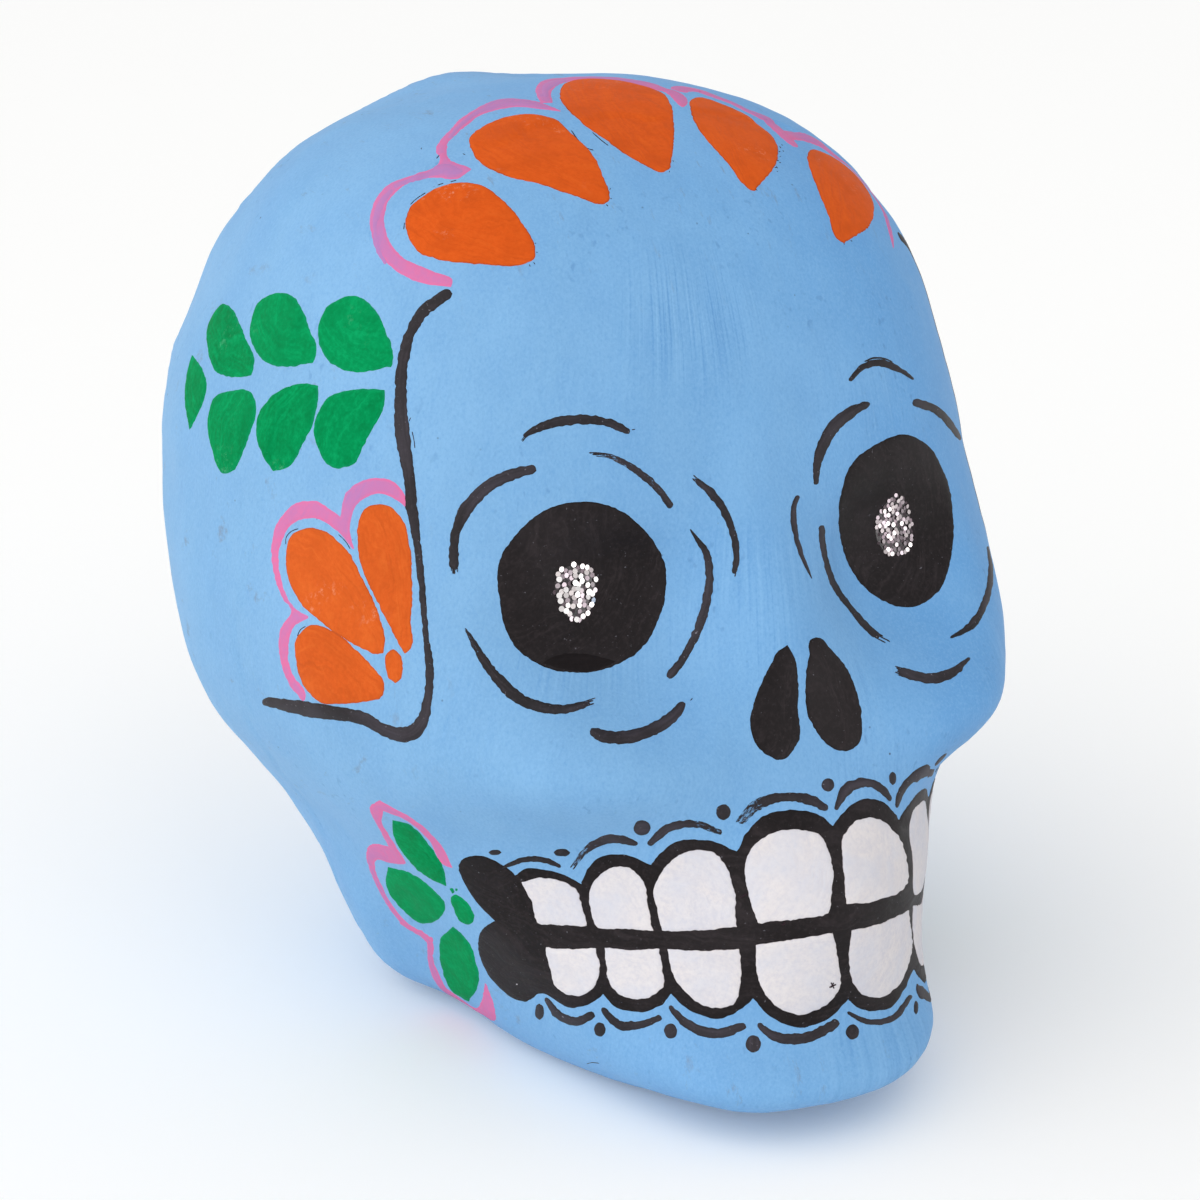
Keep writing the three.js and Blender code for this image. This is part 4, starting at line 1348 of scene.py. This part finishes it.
# %% The black of the mouth
mouth_upper_right = [
    (495, 921), (478, 904), (463, 880), (459, 868), (465, 858), (482, 856), (504, 866), (515, 875),
    (526, 869), (544, 870), (568, 877), (581.6, 884.4), (588, 869), (603, 856), (624, 855), (651, 865),
    (662, 852), (684, 840), (708, 841), (737, 851.6),
]
mouth_upper_middle = [
    (752, 827), (770, 813.6), (790, 810), (824, 818), (832.8, 825.6), (842, 814), (864, 799), (880, 801),
    (899, 819),
]
mouth_upper_left = [(903, 812), (910, 803), (916, 795), (920, 791)]
mouth_upper_hidden = [(22.6, 53.6), (26.4, 50.8)]
mouth_lower_right = [
    (484, 928), (478.4, 946), (490, 977), (508, 995), (524, 1001.4), (546, 994), (564, 1005.6), (584, 1006),
    (603, 994), (616, 1007), (640, 1012), (662, 1004), (671, 993.6), (686, 1008), (716, 1018.4),
    (740, 1009), (753, 998.4),
]
mouth_lower_middle = [
    (770, 1016), (802, 1027.4), (830, 1017), (848.4, 999), (860, 1008.4), (876, 1011), (892, 1007),
    (905, 988),
]
mouth_lower_left = [(914, 970), (918, 976)]
mouth_lower_hidden = [(20, 17.4), (24, 16.8), (26.6, 19.4)]


def whole_edge(right_part, middle_part, left_part, hidden):
    """One edge of the band: the seen half, the stretch over the outline and the seen half turned over."""
    seen = unrolled(right_part + middle_part + left_part)
    return np.concatenate([seen, across_the_edge(hidden), turned_over(unrolled(right_part[:-4]))])


upper = whole_edge(mouth_upper_right, mouth_upper_middle, mouth_upper_left, mouth_upper_hidden)
lower = whole_edge(mouth_lower_right, mouth_lower_middle, mouth_lower_left, mouth_lower_hidden)
mouth_paint = Paint(thickness=0.09, seed=27)
mouth_paint.shape(np.concatenate([upper, lower[::-1]]), onto=rolled_on)
mouth_paint.piece("mouth_black", black)

# %% Teeth
teeth_right = [
    [(521, 881.6), (540, 877.4), (560, 880), (577, 890), (584, 911), (587, 926.6), (556, 924.4),
     (539.4, 923.4), (531, 902)],
    [(589, 895), (595, 879), (612, 867), (631, 867.6), (643, 880), (649, 908), (653.6, 931.4), (620, 929),
     (597, 927.4), (591, 910)],
    [(653, 892), (661, 872), (678, 855), (699, 849.6), (719, 856), (731, 878), (738, 927), (700, 930.6),
     (661.6, 931.4), (657, 908)],
    [(545.4, 946.4), (570, 948.6), (595.6, 947.6), (599.4, 966), (593, 988), (575, 996), (558, 989),
     (550, 968)],
    [(604.4, 947), (632, 949.6), (659.6, 948), (662, 966), (664.6, 984), (650, 997), (628, 998.6),
     (611, 986), (606, 964)],
    [(667, 948.6), (704, 950), (740, 947.4), (741.4, 976), (733, 1004), (712, 1008), (688, 995),
     (672, 972)],
]
teeth_middle = [
    [(746.4, 858), (752, 847), (774, 832), (798, 829.4), (822, 837), (831, 858), (831, 898), (829, 911.4),
     (800, 918.6), (757.6, 923), (750, 900)],
    [(842, 860), (843, 836), (858, 820), (878, 818.4), (897, 835), (906, 856), (905, 888.6), (878, 900.4),
     (845.6, 905.4), (844, 884)],
    [(755.4, 944.4), (800, 938), (833, 932), (838, 960), (839.4, 988), (822, 1007.6), (798, 1014.4),
     (772, 1003), (758, 980)],
    [(851, 930), (880, 923), (909, 909.4), (911.6, 954), (896, 988), (876, 998.6), (856, 989),
     (848.4, 964)],
]
# The tooth at the picture's edge of the jaw: what is seen of it, and the rest on the unrolled skin
teeth_left = [
    ([(912.4, 887.4), (912.4, 872), (911.6, 854), (909, 840), (909, 826), (911, 816), (915, 807),
      (920, 802.6)],
     [(23.4, 50.6), (26, 47.6), (27.4, 43.4), (27.8, 38), (27, 34), (21, 34.6)]),
    ([(912.4, 905.4), (912, 930), (913.4, 943), (916.4, 955), (920, 965)],
     [(22, 19.4), (25, 20.8), (26.8, 25), (27, 29.8), (21, 31.8)]),
]
tooth_paint = Paint(thickness=0.19, seed=28)
for tooth in teeth_right + teeth_middle:
    tooth_paint.shape(tooth, ragged=1.3)
for seen, hidden in teeth_left:
    tooth_paint.shape(np.concatenate([unrolled(seen), across_the_edge(hidden)]), onto=rolled_on)
# The two widest teeth stand in the middle, so the hidden half doesn't repeat them
for tooth in teeth_right[:2] + teeth_right[3:5]:
    tooth_paint.shape(turned_over(unrolled(tooth)), onto=rolled_on, ragged=1.3)
white_spot = (517, 984, 1.3, 1.1)
tooth_paint.shape(dot_outline(*white_spot), ragged=0.5)
tooth_paint.piece("teeth", white)

# %% [markdown]
# ## Glitter in the eyes
# A drop of clear glue in each eye holds round flakes of silver film, about a millimetre across, some
# over others and each tilted a little. Geometry Nodes scatter one small round flake over the drop:
# repeating it by hand would be slow, and the seed keeps the same scatter in each run.

# %% Sizes in millimetres, and the two finishes
glitter_eyes = {"right": (574, 590), "left": (892.6, 525)}
glue_half_wide, glue_height, glue_sink, glue_lift = 4.25, 0.45, 0.05, 0.12
glue_half_tall = {"right": 4.7, "left": 5.8}
glue_seeds, flake_seeds = {"right": 31, "left": 32}, {"right": 43, "left": 47}
glue_rings, glue_sectors = 7, 28
flake_widths = {"right": 0.98, "left": 0.82}
# The left eye lies on the shaded side, so its flakes get no tint above a pale grey-pink: its glitter is
# painted darker, as painted shade
brightest_flakes_with_shade = {"right": 1.0, "left": 0.52}


def silver_film():
    """Vacuum-coated polyester film: mirror-like flakes, bright, grey or slightly bronze."""
    material, tree, shader = new_material("silver_glitter_film", Metallic=1.0, Roughness=0.22)
    tint = add(tree, "ShaderNodeAttribute", attribute_name="tint").outputs["Fac"]
    ramp = add(tree, "ShaderNodeValToRGB", {0: tint})
    ramp.color_ramp.elements[0].color = linear("#4A4045")
    ramp.color_ramp.elements[1].color = linear("#FFFCFB")
    for position, colour in ((0.14, "#7E7278"), (0.3, "#B0A4AA"), (0.5, "#E6DCDC")):
        ramp.color_ramp.elements.new(position).color = linear(colour)
    tree.links.new(ramp.outputs[0], shader.inputs["Base Color"])
    return material


def glue_finish():
    """Dried craft glue: clear and glossy, seen here over black paint, with fine glitter dust in it."""
    material, tree, shader = new_material("dried_glitter_glue", Roughness=0.25, IOR=1.5)
    dust = patterns(tree, dust=(in_millimetres(tree), 0.5, 3, 0.5)).dust
    colour = layer(tree, linear("#211C1E"), "#5A5054", (dust, 0.5, 0.62))
    tree.links.new(colour, shader.inputs["Base Color"])
    return material


silver, glue = silver_film(), glue_finish()

# %% The drop of glue
def glue_drop(side):
    """A low drop of glue on the skin, with an uneven rim: a middle point and rings round it."""
    middle_x, _, middle_z = cast([np.array(glitter_eyes[side])])[0][0]
    first, second = np.random.default_rng(glue_seeds[side]).uniform(0, 2 * math.pi, 2)
    turns = [2 * math.pi * k / glue_sectors for k in range(glue_sectors)]
    rings = [ring / glue_rings for ring in range(1, glue_rings + 1)]
    points, faces = [], []
    for share, turn_k in [(0, 0), *((share, turn_k) for share in rings for turn_k in turns)]:
        uneven = 1 + 0.05 * math.sin(2 * turn_k + first) + 0.06 * math.sin(3 * turn_k + second)
        x = middle_x + glue_half_wide * share * uneven * math.cos(turn_k)
        z = middle_z + glue_half_tall[side] * share * uneven * math.sin(turn_k)
        start = Vector((x, -2 * face_reach, z))
        hit, normal = skin_tree.ray_cast(start, Vector((0, 1, 0)))[:2]
        height = (glue_height + 2 * glue_sink) * (1 - share**2) - glue_sink
        points.append(hit + normal * (glue_lift + height))
    for ring in range(glue_rings):
        for k in range(glue_sectors):
            a = 1 + ring * glue_sectors + k
            b = 1 + ring * glue_sectors + (k + 1) % glue_sectors
            faces.append([a - glue_sectors, a, b, b - glue_sectors] if ring else [0, a, b])
    return points, faces


# %% The node tree that scatters flakes
densest = 6.0e6
flake_corners, flake_sizes = 10, (0.9, 1.12)
# Shares of a flake's width: its thickness, how high it may float and how close two may lie
flake_thickness, flake_float, flake_spacing = 0.06, 0.35, 0.78
flake_tilt = 0.2


def flake_tree(material):
    """Geometry nodes that scatter small tilted discs over a mesh and keep a random tint for each."""
    tree = bpy.data.node_groups.new("glitter_flakes", "GeometryNodeTree")
    face = tree.interface
    face.new_socket("Geometry", in_out="INPUT", socket_type="NodeSocketGeometry")
    for label in ("Flake Width", "Flake Spacing", "Most Tilt", "Brightest Tint"):
        face.new_socket(label, in_out="INPUT", socket_type="NodeSocketFloat")
    face.new_socket("Seed", in_out="INPUT", socket_type="NodeSocketInt")
    face.new_socket("Geometry", in_out="OUTPUT", socket_type="NodeSocketGeometry")
    given = add(tree, "NodeGroupInput").outputs
    width, most_tilt, seed = given["Flake Width"], given["Most Tilt"], given["Seed"]
    products = ((width, flake_thickness), (width, 0.5), (width, flake_float), (most_tilt, -1.0))
    thin, radius, most_lift, least_tilt = (
        add(tree, "ShaderNodeMath", {0: value, 1: by}, operation="MULTIPLY").outputs[0]
        for value, by in products
    )
    spots = add(tree, "GeometryNodeDistributePointsOnFaces", {
        "Mesh": given["Geometry"], "Distance Min": given["Flake Spacing"], "Density Max": densest,
        "Seed": seed,
    }, distribute_method="POISSON").outputs
    flake = add(tree, "GeometryNodeMeshCylinder", {
        "Vertices": flake_corners, "Radius": radius, "Depth": thin,
    }).outputs["Mesh"]
    lowest, highest = (
        add(tree, "ShaderNodeCombineXYZ", {0: tilt, 1: tilt}).outputs[0] for tilt in (least_tilt, most_tilt)
    )
    tilt = add(tree, "FunctionNodeRandomValue", {"Min": lowest, "Max": highest, "Seed": seed},
               data_type="FLOAT_VECTOR").outputs[0]
    turned = add(tree, "FunctionNodeRotateRotation", {"Rotation": spots["Rotation"], "Rotate By": tilt},
                 rotation_space="LOCAL").outputs[0]
    ranges = (flake_sizes, (0.0, most_lift), (0.0, given["Brightest Tint"]))
    size, lift, tint = (
        add(tree, "FunctionNodeRandomValue", {2: least, 3: most, "Seed": seed}, data_type="FLOAT").outputs[1]
        for least, most in ranges
    )
    offset = add(tree, "ShaderNodeVectorMath", {0: spots["Normal"], "Scale": lift}, operation="SCALE")
    lifted = add(tree, "GeometryNodeSetPosition", {
        "Geometry": spots["Points"], "Offset": offset.outputs[0],
    })
    flakes = add(tree, "GeometryNodeInstanceOnPoints", {
        "Points": lifted.outputs[0], "Instance": flake, "Rotation": turned, "Scale": size,
    })
    stored = add(tree, "GeometryNodeStoreNamedAttribute", {
        "Geometry": flakes.outputs[0], "Name": "tint", "Value": tint,
    }, data_type="FLOAT", domain="INSTANCE")
    real = add(tree, "GeometryNodeRealizeInstances", {0: stored.outputs[0]})
    finished = add(tree, "GeometryNodeSetMaterial", {0: real.outputs[0], "Material": material})
    add(tree, "NodeGroupOutput", {0: finished.outputs[0]})
    return tree


flakes_everywhere = flake_tree(silver)

# %% Scatter the flakes over both drops
def scatter(name, points, faces, settings):
    """Runs the flake tree over a mesh and gives back a plain mesh piece."""
    carrier_mesh = bpy.data.meshes.new(name + "_carrier")
    carrier_mesh.from_pydata([tuple(Vector(p) * millimetre) for p in points], [], faces)
    carrier = into_scene(name + "_carrier", carrier_mesh)
    modifier = carrier.modifiers.new("flakes", "NODES")
    modifier.node_group = flakes_everywhere
    for socket in flakes_everywhere.interface.items_tree:
        if socket.in_out == "INPUT" and socket.name in settings:
            modifier[socket.identifier] = settings[socket.name]
    graph = bpy.context.evaluated_depsgraph_get()
    mesh = bpy.data.meshes.new_from_object(carrier.evaluated_get(graph))
    bpy.data.objects.remove(carrier)
    mesh.name = name
    piece = into_scene(name, mesh)
    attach(piece, "root")
    flake_faces = flake_corners + 2
    print(name + ":", len(mesh.polygons) // flake_faces, "flakes,", len(mesh.vertices), "points")
    return piece


for side in glitter_eyes:
    drop_points, drop_faces = glue_drop(side)
    new_piece("glue_drop_" + side, drop_points, drop_faces, glue)
    width = flake_widths[side] * millimetre
    flakes = scatter("glitter_flakes_" + side, drop_points, drop_faces, {
        "Flake Width": width, "Flake Spacing": flake_spacing * width, "Most Tilt": flake_tilt,
        "Brightest Tint": brightest_flakes_with_shade[side], "Seed": flake_seeds[side],
    })
    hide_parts("glitter_dot_" + side)

# %% [markdown]
# ## Floor and studio light
# A pale sweep inside a white light tent whose left wall is brighter, because the photograph has
# hardly any shadows but shades off from left to right. One weak lamp stands above the front, and
# one that only glossy finishes see makes the glitter sparkle.

# %% Floor, sky and lamps
floor_mesh = bpy.data.meshes.new("studio_floor")
far = 4.0
corners = [(-far, -far, 0), (far, -far, 0), (far, far, 0), (-far, far, 0)]
floor_mesh.from_pydata(corners, [], [(0, 1, 2, 3)])
floor_material, _, floor_shader = new_material("matt_white_floor", Roughness=0.9, Emission_Strength=0.06)
floor_shader.inputs["Base Color"].default_value = linear("#FAFAF9")
floor_mesh.materials.append(floor_material)
floor = into_scene("studio_floor", floor_mesh)

world = bpy.data.worlds.new("studio")
world.use_nodes = True
tent = world.node_tree
direction = add(tent, "ShaderNodeTexCoord").outputs["Generated"]
leftness = add(tent, "ShaderNodeVectorMath", {0: direction, 1: (-1, 0, 0)}, operation="DOT_PRODUCT")
background = tent.nodes["Background"]
background.inputs[0].default_value = linear("#FFFFFF")
strength = amount(tent, (leftness.outputs["Value"], 0, 1, 0.68, 1.88))
tent.links.new(strength, background.inputs[1])
bpy.context.scene.world = world
bpy.context.scene.view_settings.view_transform = "Standard"
middle_of_skull = Vector((0, 0, 0.09))


def softbox(name, place, watts, size, only_gloss=False):
    """A square lamp that looks at the middle of the skull."""
    lamp = bpy.data.lights.new(name, "AREA")
    lamp.shape, lamp.size, lamp.energy = "SQUARE", size, watts
    holder = into_scene(name, lamp)
    holder.location = place
    towards = middle_of_skull - Vector(place)
    holder.rotation_euler = towards.to_track_quat("-Z", "Y").to_euler()
    holder.visible_diffuse = not only_gloss


softbox("lamp_above_front", place=(-0.1, -0.9, 1.3), watts=2.2, size=0.9)
softbox("lamp_for_sparkle", place=(0.55, -0.85, 0.1), watts=2.0, size=0.5, only_gloss=True)
